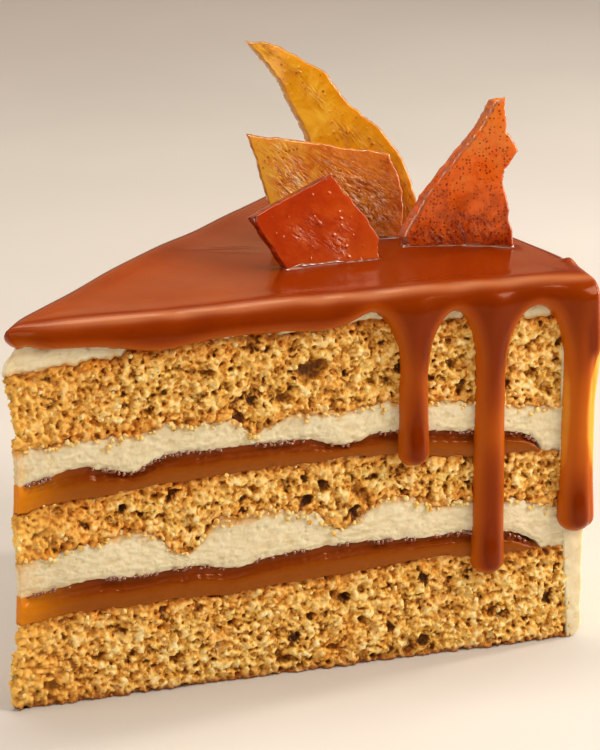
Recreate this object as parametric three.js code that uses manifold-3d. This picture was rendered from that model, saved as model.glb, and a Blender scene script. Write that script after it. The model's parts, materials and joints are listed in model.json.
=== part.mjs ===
// Iced caramel cake: a slice of one eighth of a round cake, cut to the centre.
// Three sponge layers, two fillings of caramel under cream, a coat of cream outside and on top,
// a poured caramel glaze that runs down in drips, and four shards of clear caramel on it.
// Millimetres, +Z up. The slice stands on z = 0, its tip points to -X, its rim to +X, and its
// two cut faces lie either side of the X axis.
import * as THREE from 'three';
import { mergeVertices } from 'three/addons/utils/BufferGeometryUtils.js';
import Module from 'manifold-3d';

const wasm = await Module();
wasm.setup();

// ---------------------------------------------------------------- driving dimensions
const cakeRadius = 115;
const sliceAngle = Math.PI / 4;
const halfAngle = sliceAngle / 2;
const tipX = -58.1; // the cake's centre line, from the middle of the slice's length

const glazeTop = 75.5;
const glazeUnderside = 72.5;
const clearance = 0.3; // between pieces that touch
const halfClearance = clearance / 2;
const coatTop = glazeUnderside - clearance;

const tipRadius = 1.6; // the blunt tip of the slice
const coatInnerRadius = 109.7;
const coatInnerFoot = 112.3; // the sponge reaches further out at the bottom
const coatFlareHeight = 40;
const coatFootRadius = 113.2;
const coatFootRounding = 3.3;
const coatRelief = 0.55;
const coatRows = 12;
const coatStepsRound = 12;
const knifeBandHeight = 9;

// The layers are drawn on steps from tip to rim and from face to face. The caramel fillings stop
// short of the rim in a thin edge, and the cream over them comes down to the sponge.
const stepsAlong = 34;
const stepsAcross = 4;
const stepsOfCaramel = 32;
const caramelEdge = 0.5;

// How many rows each kind of layer has, and how deep its cut face is torn.
const spongeCut = { rows: 5, relief: 0.9 };
const thinSpongeCut = { rows: 4, relief: 0.9 };
const caramelCut = { rows: 2, relief: 0.15 };
const creamCut = { rows: 2, relief: 0.3 };
const seamRelief = 0.2;

// The layers meet at these heights. Each runs through its height at the tip, in the middle and
// at the rim, with lumps given as [place from the tip, half width, height].
const boundaries = {
  base: { heights: [0, 0, 0], lumps: [] },
  lowerCaramelFoot: { heights: [17, 19, 19.6], lumps: [[12, 6, 0.6], [46, 6, -0.5], [80, 12, 0.8]] },
  lowerCreamFoot: {
    heights: [22, 24.9, 22.5],
    lumps: [[15, 6, 0.9], [43, 5, -1.6], [68, 10, 0.5], [90, 8, 0.7], [103, 4, -0.8]],
  },
  middleSpongeFoot: {
    heights: [29, 33.4, 27],
    lumps: [[8, 5, -1.4], [23, 4, 0.8], [33.5, 4.5, -5.8], [64.5, 4.5, -4.4], [75.5, 4, 1.2], [97, 6, 0.7]],
  },
  upperCaramelFoot: { heights: [38.7, 42.6, 39], lumps: [[10, 6, 0.6], [70, 8, 0.7], [90, 8, -0.9]] },
  upperCreamFoot: {
    heights: [44, 47.5, 42.5],
    lumps: [[12, 4.5, 1], [24, 4, -1.9], [32, 4, 0.4], [64.5, 5, -1.8], [77, 5, 0.4]],
  },
  topSpongeFoot: {
    heights: [51.6, 53, 47.8],
    lumps: [[20, 9, -1.2], [47.5, 4, -3.6], [80, 10, 1], [96, 6, 0.8]],
  },
  topCreamFoot: { heights: [65.8, 69.1, 66.2], lumps: [[15, 5, -0.4], [68, 5, 0.5]] },
};
const faceLength = 112; // the length of cut face that the three heights span
const farSettling = 20; // from the tip, where both cut faces meet, to the far face's own lumps

// The tip leans out at the foot and under the glaze: [height, half height, reach].
const tipBulges = [[5, 6, 1.9], [24, 5, -0.4], [46, 7, -0.5], [71, 5, 1.0]];
const tipBulgeLength = 7;

// The glaze: a poured sheet with a rolled rim, whose skirt ends in drips.
const skirtThickness = 2.3;
const skirtEdge = { heights: [70.6, 69.4, 69.6], lumps: [[3, 2, 0.6], [29, 8, -1.6], [60, 4, -0.5]] };
const rimSkirtEdge = 68.8;
const archHeight = 13; // the flared root between two drips is a tall half ellipse
const widestRoot = 8.7;
const rootSettling = 4;
// Drips along the rim line, in mm from the tip down the near face, round the rim and back up
// the far face: [place, half width, height of its lowest point, crown of the arch after it].
const rimArc = cakeRadius * sliceAngle;
const farCorner = cakeRadius + rimArc;
const firstCrown = 71.5;
const drips = [
  [79.1, 2.7, 40.0, 70.2],
  [94.6, 2.9, 16.0, 69.6],
  [112.8, 3.1, 22.6, 58],
  [119.8, 3.3, 50.5, 69.8],
  [cakeRadius + 19, 2.6, 45.5, 69.8],
  [cakeRadius + 34, 2.9, 30.5, 70.2],
  [cakeRadius + 49.5, 2.5, 56, 69.6],
  [cakeRadius + 65.5, 2.8, 38, 70],
  [farCorner - 3, 2.7, 52.5, 70.2],
  [farCorner + 20, 2.8, 33.5, 70],
  [farCorner + 39, 2.5, 55, 70.6],
];

// Four shards of clear caramel. Each stands on its foot line: x and y of its middle, turned
// about Z and leaning back, in degrees. Rows go up the shard, each from its left edge point to
// its right edge point, in mm along and up from the foot line.
const shardThickness = 2.3;
const shardSunk = 1.9;
const shardStepsAcross = 4;
const shards = [
  {
    name: 'shard_tall',
    color: '#e09a12',
    foot: [94.8, 3.3],
    turn: -37.5,
    lean: 6,
    curl: 4.5,
    relief: 0.15,
    rows: [
      [[-7.4, 0], [7.3, 0]],
      [[-10, 7], [7.1, 5]],
      [[-14, 15], [4.4, 13.8]],
      [[-17.2, 21.7], [0.2, 19.6]],
      [[-20.2, 28.2], [-6.2, 24.6]],
      [[-21.7, 30.5], [-8.9, 28]],
      [[-23.2, 32.4], [-10.8, 31]],
      [[-24.5, 34], [-15.3, 33.4]],
      [[-25.5, 35], [-19, 35.5]],
      [[-27.3, 37.3], [-22, 36.9]],
    ],
  },
  {
    name: 'shard_crackled',
    color: '#c87814',
    foot: [84.2, 3.2],
    turn: -34.5,
    lean: 8,
    curl: 0,
    relief: 0.35,
    rows: [
      [[-12.9, 0], [11.6, 0]],
      [[-14.6, 7.7], [12.2, 7.3]],
      [[-16.4, 14], [11.2, 12.3]],
      [[-18.5, 21.1], [9.4, 16.8]],
    ],
  },
  {
    name: 'shard_front',
    color: '#b23f08',
    foot: [72, -8.3],
    turn: -16.5,
    lean: 20,
    curl: 0,
    relief: 0.15,
    rows: [
      [[-10.6, 0], [9.2, 0]],
      [[-13.7, 5.5], [10.1, 3.5]],
      [[-16.4, 10.6], [7.3, 8.7]],
      [[-9.1, 13.3], [4.3, 12.7]],
      [[-1.8, 16], [1.7, 17.3]],
    ],
  },
  {
    name: 'shard_right',
    color: '#cf5419',
    foot: [98, -15],
    turn: -38.5,
    lean: 3,
    curl: 0,
    relief: 0.2,
    rows: [
      [[-10.7, 0], [11.1, 0]],
      [[-11.8, 1.9], [10.6, 3.4]],
      [[-7.7, 9.9], [9, 12.8]],
      [[-4, 14.8], [9.4, 15.4]],
      [[0.4, 20.4], [11.8, 18.8]],
      [[3.7, 24.9], [9.6, 22.6]],
      [[6, 28.7], [9.2, 29.4]],
    ],
  },
];

const finishes = {
  sponge: { color: '#dcb569', roughness: 0.85 },
  caramel: { color: '#8f4715', roughness: 0.3 },
  cream: { color: '#e9dab0', roughness: 0.6 },
  glaze: { color: '#a3521a', roughness: 0.15 },
};
const shardRoughness = 0.12;

// ---------------------------------------------------------------- small helpers
// A repeatable draw between 0 and 1 for a few whole numbers.
const drawStart = 2166136261;
const drawPrime = 16777619;
const drawOffset = 374761393;
const drawLastPrime = 2246822519;
const drawRange = 2 ** 32;

function draw(...keys) {
  let mixed = drawStart;
  for (const key of keys) {
    mixed = Math.imul(mixed ^ (Math.round(key) + drawOffset), drawPrime);
    mixed ^= mixed >>> 13;
  }
  mixed = Math.imul(mixed, drawLastPrime);
  mixed ^= mixed >>> 15;
  return (mixed >>> 0) / drawRange;
}

function bell(distance, halfWidth) {
  return Math.exp(-((distance / halfWidth) ** 2));
}

// A parabola through the heights at the tip, in the middle and at the rim.
function sweepHeight(heights, along) {
  const t = along / faceLength;
  const [tip, middle, rim] = heights;
  return tip * (1 - t) * (1 - 2 * t) + middle * 4 * t * (1 - t) + rim * t * (2 * t - 1);
}

function lumpHeight(lumps, along) {
  return lumps.reduce((sum, [place, width, height]) => sum + height * bell(along - place, width), 0);
}

// The near face has the lumps as listed, and the far face has them in the opposite order.
function boundaryHeight(boundary, radius, angle) {
  const share = (angle + halfAngle) / sliceAngle;
  const settled = 1 - bell(radius, farSettling);
  const near = lumpHeight(boundary.lumps, radius);
  const far = lumpHeight(boundary.lumps, faceLength - radius) * settled;
  return sweepHeight(boundary.heights, radius) + near * (1 - share) + far * share;
}

function coatInner(height) {
  const flare = Math.max(0, 1 - height / coatFlareHeight);
  return coatInnerRadius + (coatInnerFoot - coatInnerRadius) * flare;
}

function tipReach(height) {
  return tipBulges.reduce((sum, [place, width, reach]) => sum + reach * bell(height - place, width), 0);
}

// A point of the slice, with the tip's lean, moved in from a cut face by a depth.
function slicePoint(radius, angle, height, depth) {
  const push = tipReach(height) * bell(radius - tipRadius, tipBulgeLength);
  const inward = -Math.sign(angle);
  const faceAngle = Math.sign(angle) * halfAngle;
  const x = radius * Math.cos(angle) - push - inward * depth * Math.sin(faceAngle);
  const y = radius * Math.sin(angle) + inward * depth * Math.cos(faceAngle);
  return [tipX + x, y, height];
}

function geometryOf(positions, triangles) {
  const geometry = new THREE.BufferGeometry();
  geometry.setAttribute('position', new THREE.Float32BufferAttribute(positions.flat(), 3));
  geometry.setIndex(triangles.flat());
  return geometry;
}

// A closed body with the faces of a box of steps, each corner placed by place(i, j, k).
function boxOfSteps(steps, place) {
  const positions = [];
  const numbers = new Map();
  const triangles = [];
  const corner = (cell) => {
    const key = cell.join();
    if (!numbers.has(key)) {
      numbers.set(key, positions.length);
      positions.push(place(...cell));
    }
    return numbers.get(key);
  };
  for (let axis = 0; axis < 3; axis += 1) {
    const first = (axis + 1) % 3;
    const second = (axis + 2) % 3;
    for (const side of [0, steps[axis]]) {
      for (let a = 0; a < steps[first]; a += 1) {
        for (let b = 0; b < steps[second]; b += 1) {
          const cells = [[a, b], [a + 1, b], [a + 1, b + 1], [a, b + 1]].map(([one, two]) => {
            const cell = [0, 0, 0];
            cell[axis] = side;
            cell[first] = one;
            cell[second] = two;
            return corner(cell);
          });
          const [p, q, r, s] = cells;
          triangles.push(...(side ? [[p, q, r], [p, r, s]] : [[p, r, q], [p, s, r]]));
        }
      }
    }
  }
  return geometryOf(positions, triangles);
}

function solidOf(geometry) {
  const bare = geometry.clone();
  bare.deleteAttribute('normal');
  bare.deleteAttribute('uv');
  const merged = mergeVertices(bare, 1e-4);
  const mesh = new wasm.Mesh({
    numProp: 3,
    vertProperties: new Float32Array(merged.attributes.position.array),
    triVerts: new Uint32Array(merged.index.array),
  });
  return new wasm.Manifold(mesh);
}

function geometryOfSolid(solid) {
  const mesh = solid.getMesh();
  const geometry = new THREE.BufferGeometry();
  geometry.setAttribute('position', new THREE.BufferAttribute(new Float32Array(mesh.vertProperties), 3));
  geometry.setIndex(new THREE.BufferAttribute(new Uint32Array(mesh.triVerts), 1));
  return geometry;
}

function namedMesh(name, geometry, finish) {
  geometry.computeVertexNormals();
  const material = new THREE.MeshStandardMaterial({ ...finish, metalness: 0 });
  material.flatShading = true;
  const mesh = new THREE.Mesh(geometry, material);
  mesh.name = name;
  return mesh;
}

// ---------------------------------------------------------------- layers of the slice
const boundaryNames = Object.keys(boundaries);
const deepTears = 1.5; // above 1, most of a cut face is shallow and only a few places are deep

// How far a cut face lies in where two layers meet: both share one shallow edge, so that neither
// reaches into the other.
function seamDepth(step, side, boundaryName) {
  return seamRelief * draw(step, side, boundaryNames.indexOf(boundaryName));
}

// How deep the crumb is torn between the seams of a layer.
function crumbDepth(step, side, row, layerName, relief) {
  const layerNumber = boundaryNames.length + boundaryNames.indexOf(layerName);
  return relief * draw(step, side, layerNumber, row) ** deepTears;
}

function stepAngle(step, steps) {
  return halfAngle * ((2 * step) / steps - 1);
}

function stepRadius(step) {
  return tipRadius + ((coatInnerRadius - tipRadius) * step) / stepsAlong;
}

// The height where a layer ends at a step. At the caramel's end its upper boundary comes down
// to a thin edge, and past that to the boundary under it.
function seamHeight(name, underName, step, angle) {
  const plain = boundaryHeight(boundaries[name], stepRadius(step), angle);
  if (!underName || step < stepsOfCaramel) {
    return plain;
  }
  const under = boundaryHeight(boundaries[underName], stepRadius(step), angle);
  return step === stepsOfCaramel ? under + caramelEdge : under;
}

// One layer between two boundaries. The caramel, and the cream on it, also name the boundary
// under the caramel.
function layer({ foot, head, footUnder, headUnder, rows, relief, steps = stepsAlong }) {
  return boxOfSteps([steps, stepsAcross, rows], (i, j, k) => {
    const angle = stepAngle(j, stepsAcross);
    const lift = foot === 'base' ? 0 : halfClearance;
    const low = seamHeight(foot, footUnder, i, angle) + lift;
    const high = seamHeight(head, headUnder, i, angle) - halfClearance;
    const height = low + ((high - low) * k) / rows;
    const outer = coatInner(height) - halfClearance;
    const radius = steps < stepsAlong ? stepRadius(i) : tipRadius + ((outer - tipRadius) * i) / steps;
    const atFace = (j === 0 || j === stepsAcross) && i > 0;
    if (!atFace) {
      return slicePoint(radius, angle, height, 0);
    }
    const inner = k > 0 && k < rows;
    const footName = i > stepsOfCaramel && footUnder ? footUnder : foot;
    const seam = k === 0 ? footName : head;
    const depth = inner ? crumbDepth(i, j, k, head, relief) : seamDepth(i, j, seam);
    return slicePoint(radius, angle, height, depth);
  });
}

function caramelFilling(foot, head) {
  return layer({ foot, head, headUnder: foot, steps: stepsOfCaramel, ...caramelCut });
}

function creamFilling(foot, head, footUnder) {
  return layer({ foot, head, footUnder, ...creamCut });
}

// ---------------------------------------------------------------- cream coat
// The side coat, rounded in at its foot, with the low bands that a palette knife leaves.
function sideCoat() {
  const rowsCrowdDown = 1.3; // above 1, the rows lie closer together at the foot
  return boxOfSteps([1, coatStepsRound, coatRows], (i, j, k) => {
    const angle = stepAngle(j, coatStepsRound);
    const height = coatTop * (k / coatRows) ** rowsCrowdDown;
    if (i === 0) {
      return slicePoint(coatInner(height) + halfClearance, angle, height, 0);
    }
    const rise = Math.min(1, height / coatFootRounding);
    const rounded = coatFootRadius + (cakeRadius - coatFootRadius) * Math.sqrt(1 - (1 - rise) ** 2);
    const band = Math.sin((height / knifeBandHeight) * Math.PI + draw(j)) ** 2;
    return slicePoint(rounded - rise * coatRelief * band * draw(j, k), angle, height, 0);
  });
}

// The cream under the glaze, which reaches out into the side coat.
function topCoat() {
  const intoSideCoat = (coatInnerRadius + cakeRadius) / 2;
  return boxOfSteps([stepsAlong + 1, stepsAcross, 1], (i, j, k) => {
    const angle = stepAngle(j, stepsAcross);
    const step = Math.min(i, stepsAlong);
    const foot = seamHeight('topCreamFoot', null, step, angle) + halfClearance;
    const radius = i > stepsAlong ? intoSideCoat : stepRadius(step);
    const atFace = (j === 0 || j === stepsAcross) && i > 0 && i <= stepsAlong;
    const depth = atFace ? seamDepth(i, j, 'topCreamFoot') : 0;
    return slicePoint(radius, angle, k ? coatTop : foot, depth);
  });
}

function creamCoat() {
  return geometryOfSolid(solidOf(topCoat()).add(solidOf(sideCoat())));
}

// ---------------------------------------------------------------- caramel glaze
// Half the distance to the next drip, where the arch between the two has its crown.
function rootReach(index, side) {
  const next = drips[index + side];
  const distance = next ? Math.abs(next[0] - drips[index][0]) / 2 : widestRoot;
  return Math.min(widestRoot, distance);
}

// The arch beside a drip: how far out its crown is, how high, and how far it drops to the drip.
function archBeside(index, side) {
  const [, , , crownAfter] = drips[index];
  const before = index > 0 ? drips[index - 1][3] : firstCrown;
  const crown = side > 0 ? crownAfter : before;
  const neighbour = drips[index + side] ?? drips[index];
  const ends = [drips[index], neighbour].map(([, halfWidth, lowest]) => lowest + halfWidth);
  const drop = Math.min(archHeight, crown - Math.max(...ends));
  return { reach: rootReach(index, side), crown, drop };
}

function skirtBase(place) {
  if (place <= cakeRadius) {
    return sweepHeight(skirtEdge.heights, place) + lumpHeight(skirtEdge.lumps, place);
  }
  if (place >= farCorner) {
    const along = farCorner + cakeRadius - place;
    return sweepHeight(skirtEdge.heights, along) + lumpHeight(skirtEdge.lumps, cakeRadius - along);
  }
  return rimSkirtEdge;
}

// The lower edge of the skirt at a place along the rim line: a drip's round end, the half
// ellipse beside it, or the plain edge, which settles down from the last arch.
function skirtFoot(place) {
  let settling = 0;
  for (let index = 0; index < drips.length; index += 1) {
    const [centre, halfWidth, lowest] = drips[index];
    const distance = Math.abs(place - centre);
    const { reach, crown, drop } = archBeside(index, place < centre ? -1 : 1);
    if (distance <= halfWidth) {
      return lowest + halfWidth * (1 - Math.sqrt(1 - (distance / halfWidth) ** 2));
    }
    if (distance <= reach) {
      const across = (reach - distance) / (reach - halfWidth);
      return crown - drop * (1 - Math.sqrt(Math.max(0, 1 - across ** 2)));
    }
    if (reach === widestRoot) {
      settling += (crown - skirtBase(place)) * bell(distance - reach, rootSettling);
    }
  }
  return skirtBase(place) + settling;
}

function dripAt(place) {
  const roundingMargin = 1.001;
  return drips.find(([centre, halfWidth]) => Math.abs(place - centre) <= halfWidth * roundingMargin);
}

// Places along the rim line: an even spacing, and close columns over each drip and its arches.
const columnSpacing = 5.5;
const closestColumns = 0.05;
const justBeside = 1.03; // half widths from a drip's middle to the column just outside it
const acrossDrip = [0, 0.62, 0.93, 1, justBeside];
const acrossArch = [0.22, 0.55, 1];

function rimPlaces() {
  const places = new Set([tipRadius]);
  const total = farCorner + cakeRadius - tipRadius;
  for (let place = tipRadius; place < total; place += columnSpacing) {
    const near = drips.some(([centre], index) => {
      return Math.abs(place - centre) < rootReach(index, place < centre ? -1 : 1) + columnSpacing / 3;
    });
    if (!near) {
      places.add(place);
    }
  }
  drips.forEach(([centre, halfWidth], index) => {
    for (const side of [-1, 1]) {
      const reach = rootReach(index, side);
      acrossDrip.forEach((share) => places.add(centre + side * share * halfWidth));
      acrossArch.forEach((share) => places.add(centre + side * (halfWidth + share * (reach - halfWidth))));
    }
  });
  const inOrder = [...places].sort((a, b) => a - b);
  return inOrder.filter((place, n) => n === 0 || place - inOrder[n - 1] > closestColumns);
}

// Columns round the slice: a foot point on its outline, the way out, and the rim line place.
// At each corner of the slice the way out fans round.
// Its inset is how far in from the outline the flat top starts, less where there is no room.
const widestInset = 2.6;
const cornerFillet = 0.1;
const insetOfCorner = 0.8; // share of the distance to the corner
const insetOfWidth = 0.45; // share of half the slice's width
const cornerFan = [0, 1 / 3, 2 / 3, 1];
const cornerMargin = 0.3;
const tipSteps = 4;

function rimColumns() {
  const columns = [];
  const add = (radius, angle, wayOut, place) => {
    const toCorner = Math.min(Math.abs(place - cakeRadius), Math.abs(place - farCorner));
    const length = place > cakeRadius && place < farCorner ? cakeRadius : radius - tipRadius;
    const room = Math.min(insetOfCorner * toCorner, insetOfWidth * length * Math.tan(halfAngle));
    columns.push({ radius, angle, wayOut, place, inset: Math.min(widestInset, room) - cornerFillet });
  };
  const quarter = Math.PI / 2;
  const places = rimPlaces().filter((place) => Math.abs(place - cakeRadius) > cornerMargin);
  for (const place of places.filter((p) => p < cakeRadius)) {
    add(place, -halfAngle, -halfAngle - quarter, place);
  }
  for (const turn of cornerFan) {
    add(cakeRadius, -halfAngle, -halfAngle - quarter * (1 - turn), cakeRadius);
  }
  for (const place of places.filter((p) => p > cakeRadius && p < farCorner)) {
    const angle = -halfAngle + (place - cakeRadius) / cakeRadius;
    add(cakeRadius, angle, angle, place);
  }
  for (const turn of cornerFan) {
    add(cakeRadius, halfAngle, halfAngle + quarter * turn, farCorner);
  }
  for (const place of places.filter((p) => p > farCorner)) {
    add(farCorner + cakeRadius - place, halfAngle, halfAngle + quarter, place);
  }
  for (let n = 1; n < tipSteps; n += 1) {
    const side = 1 - (2 * n) / tipSteps;
    const angle = halfAngle * side;
    const wayOut = Math.PI - (Math.PI - halfAngle - quarter) * side;
    add(tipRadius, angle, wayOut, tipRadius);
  }
  return columns;
}

// The section of the glaze at a column, from the flat top over the rolled rim, down the
// outside of the skirt, round its edge and up its inside: [distance out, height].
const rimRoll = [[0.2, 75], [1.5, 74.1], [2.3, 72.7]];
const skirtRows = [0.3, 0.7, 0.93]; // shares of the way from the rolled rim to the lower edge
const bulbShare = 0.6; // past this share of the way down, a drip is swollen
const bulbSwelling = 1.2;
const thinnestSkirt = 0.15;
const slopeStep = 0.1;
const steepestSlope = 5.5;

function glazeSection(column) {
  const { place, inset } = column;
  const foot = skirtFoot(place);
  const drip = dripAt(place);
  const slope = (skirtFoot(place + slopeStep) - skirtFoot(place - slopeStep)) / (2 * slopeStep);
  const steepness = drip ? 1 : Math.hypot(1, Math.min(Math.abs(slope), steepestSlope));
  const rollFoot = rimRoll[rimRoll.length - 1][1];
  const section = [[-inset, glazeTop], ...rimRoll];
  for (const share of skirtRows) {
    const height = rollFoot + (foot - rollFoot) * share;
    const toEdge = (height - foot) / steepness;
    const round = Math.sqrt(1 - (1 - Math.min(1, toEdge / skirtThickness)) ** 2);
    const across = drip ? Math.abs(place - drip[0]) / (drip[1] * justBeside) : 0;
    const stem = drip ? Math.sqrt(Math.max(0, 1 - across ** 2)) : 1;
    const swelling = drip && share > bulbShare ? bulbSwelling : 1;
    const free = Math.max(stem, 1 - (rollFoot - height) / archHeight);
    section.push([clearance + thinnestSkirt + skirtThickness * round * free * swelling, height]);
  }
  section.push([clearance + thinnestSkirt, foot]);
  section.push([clearance, foot + thinnestSkirt], [clearance, glazeUnderside]);
  return section;
}

// Drips swell sideways towards their round ends.
const sidewaysSwelling = 0.16; // share of the half width
const swollenLength = 1.6; // in half widths

function swollenPlace(column, height) {
  const drip = dripAt(column.place);
  if (!drip) {
    return 0;
  }
  const [centre, halfWidth, lowest] = drip;
  const fullness = bell(height - lowest - halfWidth, swollenLength * halfWidth);
  return (column.place - centre) * sidewaysSwelling * fullness;
}

function glazePoint(column, out, height) {
  const { radius, angle, wayOut } = column;
  const push = tipReach(height) * bell(radius - tipRadius, tipBulgeLength);
  const sideways = swollenPlace(column, height);
  const along = wayOut + Math.PI / 2;
  const x = radius * Math.cos(angle) + out * Math.cos(wayOut) + sideways * Math.cos(along) - push;
  const y = radius * Math.sin(angle) + out * Math.sin(wayOut) + sideways * Math.sin(along);
  return [tipX + x, y, height];
}

function glazeBody() {
  const columns = rimColumns();
  const sections = columns.map(glazeSection);
  const rows = sections[0].length;
  const positions = [];
  sections.forEach((section, n) => {
    section.forEach(([out, height]) => positions.push(glazePoint(columns[n], out, height)));
  });
  const triangles = [];
  for (let n = 0; n < columns.length; n += 1) {
    const next = (n + 1) % columns.length;
    for (let row = 0; row < rows - 1; row += 1) {
      const a = n * rows + row;
      const b = next * rows + row;
      triangles.push([a, a + 1, b + 1], [a, b + 1, b]);
    }
  }
  for (const [row, up] of [[0, true], [rows - 1, false]]) {
    const ring = columns.map((column, n) => positions[n * rows + row]);
    const outline = ring.map(([x, y]) => new THREE.Vector2(x, y));
    for (const [p, q, r] of THREE.ShapeUtils.triangulateShape(outline, [])) {
      const face = [p, q, r].map((n) => n * rows + row);
      triangles.push(up ? face : face.reverse());
    }
  }
  return geometryOf(positions, triangles);
}

// ---------------------------------------------------------------- caramel shards
// A shard as a plate of rows, its foot sunk into the glaze, grown on all sides by a distance
// where it stands for the slot that the shard stands in.
function shardGeometry(shard, growth) {
  const { rows, foot, turn, lean, curl, relief } = shard;
  const highest = rows[rows.length - 1][0][1];
  const geometry = boxOfSteps([shardStepsAcross, 1, rows.length - 1], (i, j, k) => {
    const [left, right] = rows[k];
    const share = i / shardStepsAcross;
    const x = left[0] - growth + (right[0] - left[0] + 2 * growth) * share;
    const up = k ? left[1] + (right[1] - left[1]) * share : -shardSunk - growth;
    const inside = i > 0 && i < shardStepsAcross && k > 0 && k < rows.length - 1;
    const crackle = inside ? relief * (draw(i, j, k, rows.length) - 0.5) : 0;
    const back = curl * Math.max(0, up / highest) ** 2 + crackle;
    return [x, back + (j - 0.5) * (shardThickness + 2 * growth), up];
  });
  geometry.rotateX(THREE.MathUtils.degToRad(-lean));
  geometry.rotateZ(THREE.MathUtils.degToRad(turn));
  geometry.translate(tipX + foot[0], foot[1], glazeTop);
  return geometry;
}

function caramelGlaze() {
  let glaze = solidOf(glazeBody());
  for (const shard of shards) {
    glaze = glaze.subtract(solidOf(shardGeometry(shard, clearance)));
  }
  return geometryOfSolid(glaze);
}

// ---------------------------------------------------------------- the slice
const slice = new THREE.Group();
const lowerSponge = layer({ foot: 'base', head: 'lowerCaramelFoot', ...spongeCut });
const lowerCaramel = caramelFilling('lowerCaramelFoot', 'lowerCreamFoot');
const lowerCream = creamFilling('lowerCreamFoot', 'middleSpongeFoot', 'lowerCaramelFoot');
const middleSponge = layer({ foot: 'middleSpongeFoot', head: 'upperCaramelFoot', ...thinSpongeCut });
const upperCaramel = caramelFilling('upperCaramelFoot', 'upperCreamFoot');
const upperCream = creamFilling('upperCreamFoot', 'topSpongeFoot', 'upperCaramelFoot');
const topSponge = layer({ foot: 'topSpongeFoot', head: 'topCreamFoot', ...spongeCut });
slice.add(namedMesh('sponge_bottom', lowerSponge, finishes.sponge));
slice.add(namedMesh('caramel_lower', lowerCaramel, finishes.caramel));
slice.add(namedMesh('cream_lower', lowerCream, finishes.cream));
slice.add(namedMesh('sponge_middle', middleSponge, finishes.sponge));
slice.add(namedMesh('caramel_upper', upperCaramel, finishes.caramel));
slice.add(namedMesh('cream_upper', upperCream, finishes.cream));
slice.add(namedMesh('sponge_top', topSponge, finishes.sponge));
slice.add(namedMesh('cream_coat', creamCoat(), finishes.cream));
slice.add(namedMesh('caramel_glaze', caramelGlaze(), finishes.glaze));
for (const shard of shards) {
  const finish = { color: shard.color, roughness: shardRoughness };
  slice.add(namedMesh(shard.name, shardGeometry(shard, 0), finish));
}

export default slice;
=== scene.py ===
import json
import math

import bpy
import numpy as np
import openvdb
from mathutils import Matrix, Vector
from mathutils.kdtree import KDTree

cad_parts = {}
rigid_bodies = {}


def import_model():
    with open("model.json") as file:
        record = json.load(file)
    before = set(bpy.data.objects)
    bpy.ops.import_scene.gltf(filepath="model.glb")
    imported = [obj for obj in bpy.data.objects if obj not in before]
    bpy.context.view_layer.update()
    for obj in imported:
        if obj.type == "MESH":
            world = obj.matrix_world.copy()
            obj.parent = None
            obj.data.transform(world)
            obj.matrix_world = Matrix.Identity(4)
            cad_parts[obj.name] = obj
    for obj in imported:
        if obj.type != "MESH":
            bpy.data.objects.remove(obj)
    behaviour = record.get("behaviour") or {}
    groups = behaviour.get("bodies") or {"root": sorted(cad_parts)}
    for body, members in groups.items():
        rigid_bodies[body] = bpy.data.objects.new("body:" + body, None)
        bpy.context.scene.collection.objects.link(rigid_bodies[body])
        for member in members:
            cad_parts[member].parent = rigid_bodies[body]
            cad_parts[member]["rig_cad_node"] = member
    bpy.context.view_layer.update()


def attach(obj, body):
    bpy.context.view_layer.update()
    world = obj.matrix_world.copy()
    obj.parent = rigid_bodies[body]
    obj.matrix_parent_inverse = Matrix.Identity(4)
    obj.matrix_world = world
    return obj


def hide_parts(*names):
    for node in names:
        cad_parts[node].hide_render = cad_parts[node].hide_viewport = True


bl_info = {
    "name": "Iced caramel cake",
    "version": (1, 0, 0),
    "blender": (4, 5, 0),
    "location": "3D View > Sidebar > Cake",
    "description": "Dresses a slice of caramel layer cake as real sponge, cream, caramel and sugar",
    "category": "Add Mesh",
}

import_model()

# ---------------------------------------------------------------- the solids' own sizes, in mm
MM = 0.001
CAKE_RADIUS = 115.0
SLICE_ANGLE = math.pi / 4
HALF_ANGLE = SLICE_ANGLE / 2
TIP_X = -58.1
GLAZE_TOP = 75.5
GLAZE_UNDERSIDE = 72.5
COAT_TOP = 72.2
TIP_RADIUS = 1.6
COAT_INNER_RADIUS = 109.7
COAT_INNER_FOOT = 112.3
COAT_FLARE_HEIGHT = 40.0
COAT_FOOT_RADIUS = 113.2
COAT_FOOT_ROUNDING = 3.3
FACE_LENGTH = 112.0
FAR_SETTLING = 20.0
# How far the tip bulges out at each height: height, half width, reach.
TIP_BULGES = [
    (5, 6, 1.9), (24, 5, -0.4), (46, 7, -0.5), (66.3, 3.4, 1.4), (70.7, 1.7, -1.9), (75.6, 1.9, 1.8)]
TIP_BULGE_LENGTH = 7.0

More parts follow.
